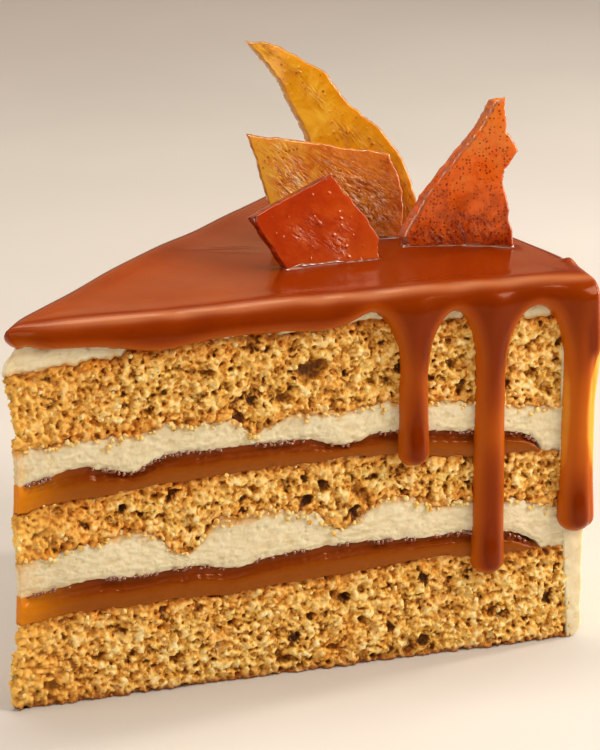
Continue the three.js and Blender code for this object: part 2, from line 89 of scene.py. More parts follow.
# Where the layers meet: heights at the tip, in the middle and at the rim, and lumps as
# (place from the tip, half width, height).
BOUNDARIES = {
    "base": ((0, 0, 0), ()),
    "lower_caramel_foot": ((17, 19, 19.6), ((12, 6, 0.6), (46, 6, -0.5), (80, 12, 0.8))),
    "lower_cream_foot": (
        (22, 24.9, 22.5), ((15, 6, 0.9), (43, 5, -1.6), (68, 10, 0.5), (90, 8, 0.7), (103, 4, -0.8))),
    "middle_sponge_foot": (
        (29, 33.4, 27),
        ((8, 5, -1.4), (23, 4, 0.8), (33.5, 4.5, -5.8), (64.5, 4.5, -4.4), (75.5, 4, 1.2), (97, 6, 0.7))),
    "upper_caramel_foot": ((38.7, 42.6, 39), ((10, 6, 0.6), (70, 8, 0.7), (90, 8, -0.9))),
    "upper_cream_foot": (
        (44, 47.5, 42.5), ((12, 4.5, 1), (24, 4, -1.9), (32, 4, 0.4), (64.5, 5, -1.8), (77, 5, 0.4))),
    "top_sponge_foot": (
        (51.6, 53, 47.8), ((20, 9, -1.2), (47.5, 4, -3.6), (80, 10, 1), (96, 6, 0.8))),
    "top_cream_foot": ((65.8, 69.1, 66.2), ((15, 5, -0.4), (68, 5, 0.5))),
}
# How ragged each boundary is where crumb, cream and caramel meet: amplitude and spacing.
RAGGED = {
    "base": (0.0, 2.0),
    "lower_caramel_foot": (0.35, 1.5),
    "lower_cream_foot": (0.3, 1.2),
    "middle_sponge_foot": (0.95, 1.5),
    "upper_caramel_foot": (0.35, 1.6),
    "upper_cream_foot": (0.3, 1.1),
    "top_sponge_foot": (0.9, 1.6),
    "top_cream_foot": (0.75, 1.5),
}
# Where each caramel filling starts to round down, and where it ends.
CARAMEL_ENDS = {"lower_cream_foot": (98.5, 104.2), "upper_cream_foot": (99.5, 105.2)}

SKIRT_THICKNESS = 2.4
SKIRT_EDGE = ((70.6, 69.4, 69.6), ((3, 2, 0.6), (29, 8, -1.6), (60, 4, -0.5)))
RIM_SKIRT_EDGE = 68.8
ARCH_HEIGHT = 13.0
WIDEST_ROOT = 8.7
ROOT_SETTLING = 4.0
RIM_ARC = CAKE_RADIUS * SLICE_ANGLE
FAR_CORNER = CAKE_RADIUS + RIM_ARC
RIM_LINE = FAR_CORNER + CAKE_RADIUS
FIRST_CROWN = 71.5
# Drips: place along the rim line, half width, height of the lowest point, crown after it.
DRIPS = [
    (79.1, 2.7, 40.0, 70.2),
    (94.6, 2.9, 16.0, 69.6),
    (112.8, 3.1, 22.6, 58),
    (119.8, 3.3, 50.5, 69.8),
    (CAKE_RADIUS + 19, 2.6, 45.5, 69.8),
    (CAKE_RADIUS + 34, 2.9, 30.5, 70.2),
    (CAKE_RADIUS + 49.5, 2.5, 56, 69.6),
    (CAKE_RADIUS + 65.5, 2.8, 38, 70),
    (FAR_CORNER - 3, 2.7, 52.5, 70.2),
    (FAR_CORNER + 20, 2.8, 33.5, 70),
    (FAR_CORNER + 39, 2.5, 55, 70.6),
]

# Shards: foot x and y from the cake's centre line, turn and lean in degrees, curl in mm, slant of the
# broken edge and the level it starts at, and rows from foot to top, each from its left edge point to
# its right edge point. Crackled patches are in shares of width and height: middle, half sizes, strength.
SHARD_THICKNESS = 2.3
SHARD_SUNK = 1.9
SHARDS = {
    "shard_tall": dict(
        foot=(94.8, 3.3), turn=-37.5, lean=6, curl=4.5, slant=1.0, slant_from=-1, rows=(
            ((-7.4, 0), (7.3, 0)), ((-10, 7), (7.1, 5)), ((-14, 15), (4.4, 13.8)),
            ((-17.2, 21.7), (0.2, 19.6)), ((-20.2, 28.2), (-6.2, 24.6)), ((-21.7, 30.5), (-8.9, 28)),
            ((-23.2, 32.4), (-10.8, 31)), ((-24.5, 34), (-15.3, 33.4)), ((-25.5, 35), (-19, 35.5)),
            ((-27.3, 37.3), (-22, 36.9))),
        crackled=((0.4, 0.93, 0.2, 0.05, 0.7), (0.42, 0.8, 0.12, 0.04, 0.6), (0.45, 0.68, 0.14, 0.07, 0.9),
                  (0.5, 0.48, 0.14, 0.07, 0.7), (0.72, 0.38, 0.2, 0.12, 0.8), (0.85, 0.2, 0.2, 0.2, 0.9))),
    "shard_crackled": dict(
        foot=(84.2, 3.2), turn=-34.5, lean=8, curl=0, slant=0, slant_from=-1, rows=(
            ((-12.9, 0), (11.6, 0)), ((-14.6, 7.7), (12.2, 7.3)), ((-16.4, 14), (11.2, 12.3)),
            ((-18.5, 21.1), (9.4, 16.8))),
        crackled=((0.22, 0.55, 0.12, 0.34, 1.0), (0.55, 0.5, 0.13, 0.4, 0.7), (0.74, 0.35, 0.2, 0.4, 1.0))),
    "shard_front": dict(
        foot=(72, -8.3), turn=-16.5, lean=20, curl=0, slant=1.3, slant_from=9.0, rows=(
            ((-10.6, 0), (9.2, 0)), ((-13.7, 5.5), (10.1, 3.5)), ((-16.4, 10.6), (7.3, 8.7)),
            ((-9.1, 13.3), (4.3, 12.7)), ((-1.8, 16), (1.7, 17.3))),
        crackled=((0.35, 0.3, 0.12, 0.1, 0.7), (0.6, 0.22, 0.12, 0.1, 0.8), (0.5, 0.45, 0.1, 0.08, 0.5),
                  (0.75, 0.4, 0.08, 0.08, 0.4))),
    "shard_right": dict(
        foot=(98, -15), turn=-38.5, lean=3, curl=0, slant=1.7, slant_from=-1, rows=(
            ((-10.7, 0), (11.1, 0)), ((-11.8, 1.9), (10.6, 3.4)), ((-7.7, 9.9), (9, 12.8)),
            ((-4, 14.8), (9.4, 15.4)), ((0.4, 20.4), (11.8, 18.8)), ((3.7, 24.9), (9.6, 22.6)),
            ((6, 28.7), (9.2, 29.4))),
        crackled=((0.35, 0.14, 0.3, 0.07, 0.9), (0.65, 0.18, 0.25, 0.08, 0.8), (0.3, 0.6, 0.1, 0.2, 0.15))),
}

# Larger holes in the crumb of a cut face: place from the tip, height, half width, half height, depth.
BIG_PORES = [
    (58.8, 61.0, 3.1, 2.2, 2.2), (53.3, 56.0, 1.5, 1.4, 1.7), (26.8, 56.1, 1.2, 0.9, 1.5),
    (17.0, 55.0, 1.1, 0.8, 1.3), (86.5, 59.5, 1.4, 0.9, 1.6), (88.7, 53.9, 1.5, 0.9, 1.7),
    (103.1, 56.0, 1.5, 1.0, 1.7), (28.4, 39.3, 1.3, 0.8, 1.5), (29.3, 35.2, 1.2, 0.8, 1.3),
    (68.6, 35.3, 1.7, 2.2, 1.5), (77.5, 34.6, 1.2, 0.8, 1.4), (8.0, 3.8, 2.0, 1.1, 1.8),
    (17.0, 8.3, 1.5, 0.9, 1.5), (31.7, 6.1, 1.5, 0.9, 1.6), (53.8, 2.7, 1.9, 0.9, 1.7),
    (63.5, 4.1, 1.4, 1.0, 1.6), (69.4, 9.0, 1.3, 0.9, 1.5), (63.5, 14.9, 1.5, 1.0, 1.6),
    (96.0, 7.5, 1.5, 1.0, 1.5), (43.0, 12.0, 1.2, 0.8, 1.3), (38.5, 62.5, 1.3, 0.9, 1.4),
    (70.5, 57.5, 1.1, 0.8, 1.3), (47.5, 38.5, 1.2, 0.8, 1.3), (95.5, 36.0, 1.2, 0.9, 1.3),
]

# ---------------------------------------------------------------- small helpers
LINE_KNOTS = 4096
LINE_START = 700
PATCH_KNOTS = 256
PATCH_START = 60


def linear(code):
    """A colour's sRGB hex code as linear RGBA."""
    channels = [int(code[n:n + 2], 16) / 255 for n in (1, 3, 5)]
    return (*[c / 12.92 if c <= 0.04045 else ((c + 0.055) / 1.055) ** 2.4 for c in channels], 1.0)


def bell(distance, half_width):
    return np.exp(-((distance / half_width) ** 2))


def smooth_step(low, high, value):
    t = np.clip((value - low) / (high - low), 0, 1)
    return t * t * (3 - 2 * t)


def knot_before(t):
    """The knot before each place, and the eased share of the way to the next."""
    whole = np.floor(t).astype(int)
    part = t - whole
    return whole, part * part * (3 - 2 * part)


def value_noise(along, spacing, seed):
    """A smooth random line between -1 and 1 with a knot at every spacing."""
    knots = np.random.default_rng(seed).uniform(-1, 1, LINE_KNOTS)
    whole, part = knot_before(along / spacing + LINE_START)
    return knots[whole % LINE_KNOTS] * (1 - part) + knots[(whole + 1) % LINE_KNOTS] * part


def patch_noise(x, y, spacing, seed):
    """A smooth random field between about -1 and 1 over a face."""
    knots = np.random.default_rng(seed).uniform(-1, 1, (PATCH_KNOTS, PATCH_KNOTS))
    (ix, px), (iy, py) = knot_before(x / spacing + PATCH_START), knot_before(y / spacing + PATCH_START)
    this_x, this_y, next_x, next_y = (n % PATCH_KNOTS for n in (ix, iy, ix + 1, iy + 1))
    low = knots[this_x, this_y] * (1 - px) + knots[next_x, this_y] * px
    high = knots[this_x, next_y] * (1 - px) + knots[next_x, next_y] * px
    return low * (1 - py) + high * py


def by_face(far, noise, seed, *places):
    """A random field with a seed of its own on each cut face."""
    return np.where(far, noise(*places, seed + 5), noise(*places, seed))


def sweep_height(heights, along):
    t = along / FACE_LENGTH
    tip, middle, rim = heights
    return tip * (1 - t) * (1 - 2 * t) + middle * 4 * t * (1 - t) + rim * t * (2 * t - 1)


def lump_height(lumps, along):
    return sum((height * bell(along - place, width) for place, width, height in lumps), 0 * along)


def ragged_line(name, radius, seed):
    amount, spacing = RAGGED[name]
    coarse = value_noise(radius, spacing * 2.3, seed)
    fine = value_noise(radius, spacing * 0.7, seed + 1)
    return amount * (0.65 * coarse + 0.5 * fine)


def boundary_height(name, radius, angle):
    """The height of a boundary, with the ragged line that each cut face shows."""
    heights, lumps = BOUNDARIES[name]
    share = (angle + HALF_ANGLE) / SLICE_ANGLE
    settled = 1 - bell(radius, FAR_SETTLING)
    seed = 10 * list(BOUNDARIES).index(name)
    near = lump_height(lumps, radius) + ragged_line(name, radius, seed)
    far = lump_height(lumps, FACE_LENGTH - radius) * settled + ragged_line(name, radius, seed + 2)
    return sweep_height(heights, radius) + near * (1 - share) + far * share


def caramel_head(name, under, radius, angle):
    """The top of a caramel filling, which rounds down to the sponge before the rim."""
    start, end = CARAMEL_ENDS[name]
    left = np.clip((radius - start) / (end - start), 0, 1)
    full = np.sqrt(1 - left ** 2)
    low = boundary_height(under, radius, angle)
    return low + (boundary_height(name, radius, angle) - low) * full


def coat_inner(height):
    flare = np.maximum(0, 1 - height / COAT_FLARE_HEIGHT)
    return COAT_INNER_RADIUS + (COAT_INNER_FOOT - COAT_INNER_RADIUS) * flare


def tip_push(radius, height):
    """How far the tip's bulges push a point out."""
    reach = sum((reach * bell(height - place, width) for place, width, reach in TIP_BULGES), 0 * height)
    return reach * bell(radius - TIP_RADIUS, TIP_BULGE_LENGTH)


def slice_point(radius, angle, height, depth):
    """A point of the slice, with the tip's bulges, moved in from a cut face by a depth."""
    inward = -np.sign(angle)
    face_angle = np.sign(angle) * HALF_ANGLE
    x = radius * np.cos(angle) - tip_push(radius, height) - inward * depth * np.sin(face_angle)
    y = radius * np.sin(angle) + inward * depth * np.cos(face_angle)
    return np.stack([TIP_X + x, y, height + 0 * x], -1)


def sheet_quads(number):
    """The quads of a sheet of numbered points."""
    return np.stack([number[:-1, :-1], number[1:, :-1], number[1:, 1:], number[:-1, 1:]], -1).reshape(-1, 4)


def box_of_steps(*steps):
    """The outside of a box of steps: the lattice numbers of its points, and its quads."""
    i, j, k = np.meshgrid(*[np.arange(n + 1) for n in steps], indexing="ij")
    ends = [(c == 0) | (c == n) for c, n in zip((i, j, k), steps)]
    outside = ends[0] | ends[1] | ends[2]
    number = np.full(i.shape, -1)
    number[outside] = np.arange(outside.sum())
    quads = []
    for axis in range(3):
        for side in (0, steps[axis]):
            quad = sheet_quads(np.take(number, side, axis=axis))
            quads.append(quad[:, ::-1] if (side == 0) != (axis == 1) else quad)
    return (i[outside], j[outside], k[outside]), np.concatenate(quads)


def join_bodies(bodies):
    """Several bodies of (points, quads, attributes) as one."""
    points, quads, attributes, count = [], [], {}, 0
    for body_points, body_quads, body_attributes in bodies:
        points.append(body_points)
        quads.append(body_quads + count)
        count += len(body_points)
        for name, values in body_attributes.items():
            attributes.setdefault(name, []).append(values)
    joined = {name: np.concatenate(values) for name, values in attributes.items()}
    return np.concatenate(points), np.concatenate(quads), joined


def fresh(name):
    """Clears an earlier piece of the same name, so that an operator can be run again."""
    old = bpy.data.objects.get(name)
    if old and "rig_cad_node" not in old:
        bpy.data.objects.remove(old)
    return name


def once(store, key, make):
    """What a store already holds under a key, or else a new one: a finish or tree that pieces share."""
    return store.get(key) or make()


def bake_nodes(piece, tree, values):
    """Runs a geometry tree on a piece once and keeps the result as its plain mesh."""
    modifier = piece.modifiers.new(tree.name, "NODES")
    modifier.node_group = tree
    for item in tree.interface.items_tree:
        if item.item_type == "SOCKET" and item.in_out == "INPUT" and item.name in values:
            modifier[item.identifier] = values[item.name]
    graph = bpy.context.evaluated_depsgraph_get()
    mesh = bpy.data.meshes.new_from_object(
        piece.evaluated_get(graph), preserve_all_data_layers=True, depsgraph=graph)
    piece.modifiers.remove(modifier)
    old = piece.data
    piece.data = mesh
    bpy.data.meshes.remove(old)
    mesh.name = piece.name


def make_piece(name, body, node, material, tree=None, sizes=None):
    """A finished piece at the origin from a body in mm, run through a geometry tree where one is given."""
    points, faces, attributes = body
    mesh = bpy.data.meshes.new(name)
    mesh.from_pydata(np.asarray(points, float) * MM, [], np.asarray(faces))
    for key, values in attributes.items():
        values = np.asarray(values, np.float32)
        kind, field = ("FLOAT_VECTOR", "vector") if values.ndim == 2 else ("FLOAT", "value")
        mesh.attributes.new(key, kind, "POINT").data.foreach_set(field, values.ravel())
    mesh.shade_smooth()
    mesh.validate()
    piece = bpy.data.objects.new(fresh(name), mesh)
    bpy.context.scene.collection.objects.link(piece)
    if tree:
        bake_nodes(piece, tree, {**sizes, "Material": material})
    else:
        mesh.materials.append(material)
    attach(piece, "root")
    if node:
        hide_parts(node)


# ---------------------------------------------------------------- node trees
TREE_COLUMNS = 12
COLUMN_WIDTH = 190
ROW_HEIGHT = 260
BLEND = dict(data_type="RGBA", give="Result")  # what every mix of two colours has in common
SHEET_WIDTH = 25.0  # a shard's face, in mm, as its wrinkles are spaced
SHEET_HEIGHT = 22.0


def node_adder(tree):
    """The one function that adds a node to a tree. A kind without a family is a shader node, and a word
    after it is its operation. Inputs are values or links, in order or by a name with a capital, and
    settings have small letters. It returns the output asked for, or several."""
    def add(kind, *values, give=0, stops=(), **named):
        family, _, operation = kind.partition(" ")
        known = family.startswith(("Geometry", "Function", "NodeGroup"))
        node = tree.nodes.new(family if known else "ShaderNode" + family)
        row, column = divmod(len(tree.nodes), TREE_COLUMNS)
        node.location = (COLUMN_WIDTH * column, -ROW_HEIGHT * row)
        inputs = dict(enumerate(values))
        if operation:
            node.operation = operation
        for name, value in named.items():
            if name[0].isupper():
                inputs[name.replace("_", " ")] = value
            else:
                setattr(node, name, value)
        for key, value in inputs.items():
            if isinstance(value, bpy.types.NodeSocket):
                tree.links.new(value, node.inputs[key])
            else:
                node.inputs[key].default_value = value
        while stops and len(node.color_ramp.elements) < len(stops):
            node.color_ramp.elements.new(0.5)
        for number, (place, colour) in enumerate(stops):
            element = node.color_ramp.elements[number]
            element.position = place
            element.color = colour
        return [node.outputs[key] for key in give] if isinstance(give, tuple) else node.outputs[give]
    return add


def new_geometry_tree(name, **sizes):
    """A geometry tree with named inputs, the adder of its nodes and its inputs' sockets."""
    tree = bpy.data.node_groups.new(name, "GeometryNodeTree")
    tree.interface.new_socket("Geometry", in_out="OUTPUT", socket_type="NodeSocketGeometry")
    tree.interface.new_socket("Geometry", in_out="INPUT", socket_type="NodeSocketGeometry")
    for label, default in sizes.items():
        kind = "NodeSocketInt" if isinstance(default, int) else "NodeSocketFloat"
        socket = tree.interface.new_socket(label.replace("_", " "), in_out="INPUT", socket_type=kind)
        socket.default_value = default
    tree.interface.new_socket("Material", in_out="INPUT", socket_type="NodeSocketMaterial")
    return tree, node_adder(tree), tree.nodes.new("NodeGroupInput").outputs


def end_geometry_tree(tree, add, geometry, hollow, material):
    """Keeps the hollow of each point for the material, and ends the tree."""
    kept = add("GeometryNodeStoreNamedAttribute", geometry, Name="hollow", Value=hollow, data_type="FLOAT",
               domain="POINT")
    whole = add("GeometryNodeRealizeInstances", kept)
    dressed = add("GeometryNodeSetMaterial", whole, Material=material)
    add("NodeGroupOutput", dressed, give=())
    return tree


def shifted_place(add, seed, along_x, along_z):
    """Each point's place, moved by the seed so that no two pieces have the same pattern."""
    shift = add("CombineXYZ", X=add("Math MULTIPLY", seed, along_x), Z=add("Math MULTIPLY", seed, along_z))
    return add("VectorMath ADD", add("GeometryNodeInputPosition"), shift)


def round_hollows(add, place, scale, crowding, widest, least, roundness):
    """Round hollows of chance widths: how far each point lies below the rim of its hollow, from 0 to 1,
    with the hollow's radius and its chance draw."""
    distance, tint = add("TexVoronoi", place, Scale=scale, give=("Distance", "Color"))
    draw = add("FunctionNodeSeparateColor", tint)
    radius = add("Math MULTIPLY_ADD", add("Math POWER", draw, crowding), widest, least)
    ratio = add("Math DIVIDE", distance, radius)
    bowl = add("Math SUBTRACT", 1.0, add("Math POWER", ratio, roundness))
    return add("Math MAXIMUM", bowl, 0.0), radius, draw


def pushed_out(add, geometry, lift):
    """Moves the points of a cut face out by a lift."""
    cut = add("GeometryNodeInputNamedAttribute", "cut", data_type="FLOAT")
    way = add("GeometryNodeInputNamedAttribute", "way_out", data_type="FLOAT_VECTOR")
    return add("GeometryNodeSetPosition", geometry, Offset=add(
        "VectorMath SCALE", way, Scale=add("Math MULTIPLY", lift, cut)))


def sheet_place(add, across, rise, layer, stretch):
    """A place on a shard's face, turned so that wrinkles run aslant and stretched along them."""
    flat = add("CombineXYZ", add("Math MULTIPLY", across, SHEET_WIDTH * MM),
               add("Math MULTIPLY", rise, SHEET_HEIGHT * MM), layer)
    turned = add("VectorRotate", flat, Angle=math.pi / 4, rotation_type="Z_AXIS")
    return add("VectorMath MULTIPLY", turned, (stretch, 1.0, 1.0))


def crumb_tree():
    """Tears a cut face of sponge into lumps and pores, and keeps how deep each point lies."""
    highest, deepest, slide = 0.45 * MM, -2.6 * MM, 0.35 * MM
    tree, add, given = new_geometry_tree(
        "torn_crumb", Lump_size=1.3 * MM, Pore_size=2.3 * MM, Depth=1.0 * MM, Seed=1)
    place = shifted_place(add, given["Seed"], 0.031, 0.017)
    lump_scale = add("Math DIVIDE", 1.0, given["Lump size"])
    pore_scale = add("Math DIVIDE", 1.0, given["Pore size"])
    swirl = add("TexNoise", place, Scale=add("Math MULTIPLY", lump_scale, 0.7), Detail=2.0, give="Color")
    swirl = add("VectorMath SUBTRACT", swirl, (0.5, 0.5, 0.5))
    bend = add("VectorMath SCALE", swirl, Scale=add("Math MULTIPLY", given["Lump size"], 1.1))
    bent = add("VectorMath ADD", place, bend)

    lumps = add("TexVoronoi", bent, Scale=lump_scale, give="Distance")
    lumps = add("Math SUBTRACT", 0.4, add("Math MULTIPLY", lumps, lumps))
    grains = add("TexNoise", bent, Scale=add("Math MULTIPLY", lump_scale, 1.35), Detail=1.6, Roughness=0.5)
    grains = add("Math SUBTRACT", grains, 0.5)
    clumps = add("TexNoise", place, Scale=add("Math MULTIPLY", lump_scale, 0.4), Detail=2.5, Roughness=0.55)
    clumps = add("Math SUBTRACT", clumps, 0.5)
    torn = add("TexNoise", bent, Scale=add("Math MULTIPLY", lump_scale, 0.95), Detail=1.5, Roughness=0.5)
    torn = add("MapRange", torn, From_Min=0.54, From_Max=0.72, interpolation_type="SMOOTHSTEP")
    relief = add("Math MULTIPLY", lumps, 1.1)
    relief = add("Math MULTIPLY_ADD", grains, 1.6, relief)
    relief = add("Math MULTIPLY_ADD", clumps, 2.4, relief)
    relief = add("Math MULTIPLY_ADD", torn, -1.2, relief)
    small_scale = add("Math MULTIPLY", pore_scale, 2.1)
    for scale, widest, crowding, weight in ((pore_scale, 0.5, 2.1, -3.4), (small_scale, 0.48, 1.8, -2.5)):
        bowl, radius, _ = round_hollows(add, bent, scale, crowding, widest, 0.02, 2.4)
        pore = add("Math MULTIPLY", add("Math SQRT", bowl), radius)
        relief = add("Math MULTIPLY_ADD", pore, weight, relief)
    pressed = add("GeometryNodeInputNamedAttribute", "pressed", data_type="FLOAT")
    relief = add("Math DIVIDE", relief, add("Math MULTIPLY_ADD", pressed, 1.2, 1.0))

    cut = add("GeometryNodeInputNamedAttribute", "cut", data_type="FLOAT")
    way = add("GeometryNodeInputNamedAttribute", "way_out", data_type="FLOAT_VECTOR")
    lift = add("Math MULTIPLY", add("Math MULTIPLY", relief, given["Depth"]), cut)
    lift = add("Math MAXIMUM", add("Math MINIMUM", lift, highest), deepest)
    slid = add("VectorMath SCALE", swirl, Scale=add("Math MULTIPLY", cut, slide))
    slid = add("VectorMath MULTIPLY", slid, (1.0, 1.0, 0.6))
    offset = add("VectorMath ADD", add("VectorMath SCALE", way, Scale=lift), slid)
    moved = add("GeometryNodeSetPosition", given["Geometry"], Offset=offset)
    x, y, z = add("SeparateXYZ", add("GeometryNodeInputPosition"), give=("X", "Y", "Z"))
    stood = add("CombineXYZ", x, y, add("Math MAXIMUM", z, 0.0))
    moved = add("GeometryNodeSetPosition", moved, Position=stood)
    # How deep each point lies, and deeper still in the large pores: the sponge paints shade from it.
    hollow = add("Math MULTIPLY_ADD", relief, -0.36, 0.38)
    hollow = add("Math MULTIPLY_ADD", pressed, 0.17, hollow)
    return end_geometry_tree(tree, add, moved, hollow, given["Material"])


def spread_tree():
    """Gives spread cream or caramel the smears and pits that a knife leaves, longer than high."""
    tree, add, given = new_geometry_tree(
        "spread_by_knife", Smear_size=2.6 * MM, Depth=0.25 * MM, Pit_depth=0.2 * MM, Seed=1)
    place = shifted_place(add, given["Seed"], 0.027, 0.019)
    stretched = add("VectorMath MULTIPLY", place, (1.0, 1.0, 2.1))
    scale = add("Math DIVIDE", 1.0, given["Smear size"])
    smears = add("TexNoise", stretched, Scale=scale, Detail=4.0, Roughness=0.66, Distortion=0.6)
    ridges = add("TexNoise", stretched, Scale=add("Math MULTIPLY", scale, 0.45), Detail=1.0)
    ridges = add("Math ABSOLUTE", add("Math SUBTRACT", ridges, 0.5))
    pit, _, _ = round_hollows(add, place, add("Math MULTIPLY", scale, 1.3), 5.0, 0.4, 0.01, 2.0)
    relief = add("Math MULTIPLY", add("Math SUBTRACT", smears, 0.5), 2.4)
    relief = add("Math MULTIPLY_ADD", ridges, -2.0, relief)
    lift = add("Math MULTIPLY", relief, given["Depth"])
    lift = add("Math SUBTRACT", lift, add("Math MULTIPLY", pit, given["Pit depth"]))
    moved = pushed_out(add, given["Geometry"], lift)
    hollow = add("Math MULTIPLY_ADD", relief, -0.5, 0.4)
    return end_geometry_tree(tree, add, moved, hollow, given["Material"])


def crackle_tree():
    """Wrinkles the faces of a sheet of boiled sugar, dents them with burst bubbles and domes them with
    a few closed ones."""
    tree, add, given = new_geometry_tree(
        "crackled_sugar", Wrinkle_size=2.2 * MM, Depth=0.2 * MM, Bubble_size=1.1 * MM, Bubble_depth=0.15 * MM,
        Seed=1)
    place = shifted_place(add, given["Seed"], 0.029, 0.0)
    scale = add("Math DIVIDE", 1.0, given["Wrinkle size"])
    across = add("GeometryNodeInputNamedAttribute", "across", data_type="FLOAT")
    rise = add("GeometryNodeInputNamedAttribute", "rise", data_type="FLOAT")
    sheet = sheet_place(add, across, rise, add("Math MULTIPLY", given["Seed"], 0.029), 0.45)
    wrinkles = add("TexNoise", sheet, Scale=scale, Detail=3.0, Roughness=0.6, Distortion=1.2)
    folds = add("TexNoise", sheet, Scale=add("Math MULTIPLY", scale, 1.7), Detail=2.0, Distortion=0.8)
    folds = add("Math ABSOLUTE", add("Math SUBTRACT", folds, 0.5))
    bubble_scale = add("Math DIVIDE", 1.0, given["Bubble size"])
    dent, _, draw = round_hollows(add, place, bubble_scale, 3.0, 0.42, 0.02, 2.0)
    side = add("Math SUBTRACT", add("Math MULTIPLY", add("Math GREATER_THAN", draw, 0.8), 2.0), 1.0)
    relief = add("Math MULTIPLY", add("Math SUBTRACT", wrinkles, 0.5), 1.6)
    relief = add("Math MULTIPLY_ADD", folds, -2.6, relief)
    lift = add("Math MULTIPLY", relief, given["Depth"])
    lift = add("Math MULTIPLY_ADD", add("Math MULTIPLY", dent, given["Bubble depth"]), side, lift)
    moved = pushed_out(add, given["Geometry"], lift)
    hollow = add("Math MULTIPLY_ADD", relief, -0.5, add("Math MULTIPLY", dent, 0.6))
    return end_geometry_tree(tree, add, moved, hollow, given["Material"])


def scatter_tree():
    """Sets a small uneven lump on every point, turned by chance, between two sizes."""
    whole_turn = (6.28, 6.28, 6.28)
    tree, add, given = new_geometry_tree(
        "scattered_bits", Smallest=0.3 * MM, Largest=0.8 * MM, Flatness=0.7, Roughness=0.3, Seed=1)
    ball = add("GeometryNodeMeshUVSphere", Segments=8, Rings=5, Radius=0.5)
    size = add("FunctionNodeRandomValue", data_type="FLOAT", Min=given["Smallest"], Max=given["Largest"],
               Seed=given["Seed"], give="Value")
    turn = add("FunctionNodeRandomValue", data_type="FLOAT_VECTOR", Min=(0, 0, 0), Max=whole_turn,
               Seed=given["Seed"], give="Value")
    squeeze = add("CombineXYZ", 1.0, given["Flatness"], 0.9)
    placed = add(
        "GeometryNodeInstanceOnPoints", given["Geometry"], Instance=ball,
        Rotation=add("FunctionNodeEulerToRotation", turn), Scale=add("VectorMath SCALE", squeeze, Scale=size))
    whole = add("GeometryNodeRealizeInstances", placed)
    position = add("GeometryNodeInputPosition")
    noise = add("TexNoise", position, Scale=1 / (0.55 * MM), Detail=1.0, give="Color")
    noise = add("VectorMath SUBTRACT", noise, (0.5, 0.5, 0.5))
    amount = add("Math MULTIPLY", given["Roughness"], given["Largest"])
    moved = add("GeometryNodeSetPosition", whole, Offset=add("VectorMath SCALE", noise, Scale=amount))
    smooth = add("GeometryNodeSetShadeSmooth", moved, Shade_Smooth=True)
    shade = add("TexNoise", position, Scale=1 / (1.6 * MM))
    shade = add("Math MULTIPLY_ADD", shade, 0.9, -0.2)
    return end_geometry_tree(tree, add, smooth, shade, given["Material"])


# ---------------------------------------------------------------- materials
def new_material(name, **values):
    """A material, the adder of its nodes and its one Principled shader with its plain values set."""
    material = bpy.data.materials.new(name)
    material.use_nodes = True
    shader = material.node_tree.nodes["Principled BSDF"]
    for label, value in values.items():
        shader.inputs[label.replace("_", " ")].default_value = value
    return material, node_adder(material.node_tree), shader


def dress(material, shader, **links):
    """Links the finished colour, roughness and normal to the shader."""
    for label, socket in links.items():
        material.node_tree.links.new(socket, shader.inputs[label.replace("_", " ")])
    return material


def baked_sponge(colours):
    """Butter sponge, baked and torn by the knife: matte bright crumb walls with brown pores, darker
    the deeper they go as painted shade, and a tan crust where it met the tin."""
    material, add, shader = new_material(
        "baked_butter_sponge", IOR=1.42, Subsurface_Weight=0.22, Subsurface_Scale=1.6 * MM,
        Subsurface_Radius=(1.0, 0.5, 0.18), Specular_IOR_Level=0.35)
    place = add("TexCoord", give="Object")
    hollow, crust, soaked, thin = (
        add("Attribute", attribute_name=name, give="Fac") for name in ("hollow", "crust", "soaked", "thin"))
    speckle = add("TexNoise", place, Scale=1 / (0.8 * MM), Detail=3.0)
    wander = add("TexNoise", place, Scale=1 / (0.6 * MM), give="Color")
    wander = add("VectorMath ADD", place, add("VectorMath SCALE", wander, Scale=0.5 * MM))
    gaps, tint = add("TexVoronoi", wander, Scale=1 / (0.62 * MM), give=("Distance", "Color"))
    gaps = add("MapRange", gaps, From_Min=0.25, From_Max=0.75, To_Min=-0.04, To_Max=0.05)
    gaps = add("Math MULTIPLY_ADD", add("SeparateColor", tint), 0.06, gaps)
    mottle = add("TexNoise", wander, Scale=1 / (1.4 * MM), Detail=3.0, Roughness=0.6)
    mottle = add("Math MULTIPLY_ADD", add("Math SUBTRACT", mottle, 0.5), 0.75, gaps)
    # Painted shade: lighter on the walls that stand out, darker the deeper a point lies in a pore.
    crumb = add("ValToRGB", add("Math ADD", mottle, hollow), stops=[
        (0.14, colours.crumb_light), (0.34, colours.crumb), (0.5, colours.crumb_gold_shade),
        (0.68, colours.crumb_pore_shade), (0.92, colours.crumb_deep_pore_shade)])
    patches = add("TexNoise", place, Scale=1 / (7 * MM), Detail=4.0, Roughness=0.68)
    patches = add("MapRange", patches, From_Min=0.46, From_Max=0.68)
    damp = add("Math MULTIPLY_ADD", patches, 0.45, soaked, use_clamp=True)
    crumb = add("Mix", Factor=damp, A=crumb, B=colours.crumb_soaked, blend_type="MULTIPLY", **BLEND)
    # Painted light shining through the thin tip.
    crumb = add("Mix", Factor=add("Math MULTIPLY", thin, 0.6), A=crumb, B=colours.crumb_tip_glow, **BLEND)
    baked = add("Math MULTIPLY", add("Math MULTIPLY", speckle, crust), 1.9, use_clamp=True)
    crumb = add("Mix", Factor=baked, A=crumb, B=colours.crust, **BLEND)
    return dress(
        material, shader, Base_Color=crumb, Roughness=add("MapRange", speckle, To_Min=0.45, To_Max=0.85),
        Normal=add("Bump", Height=mottle, Strength=0.6, Distance=-0.3 * MM))


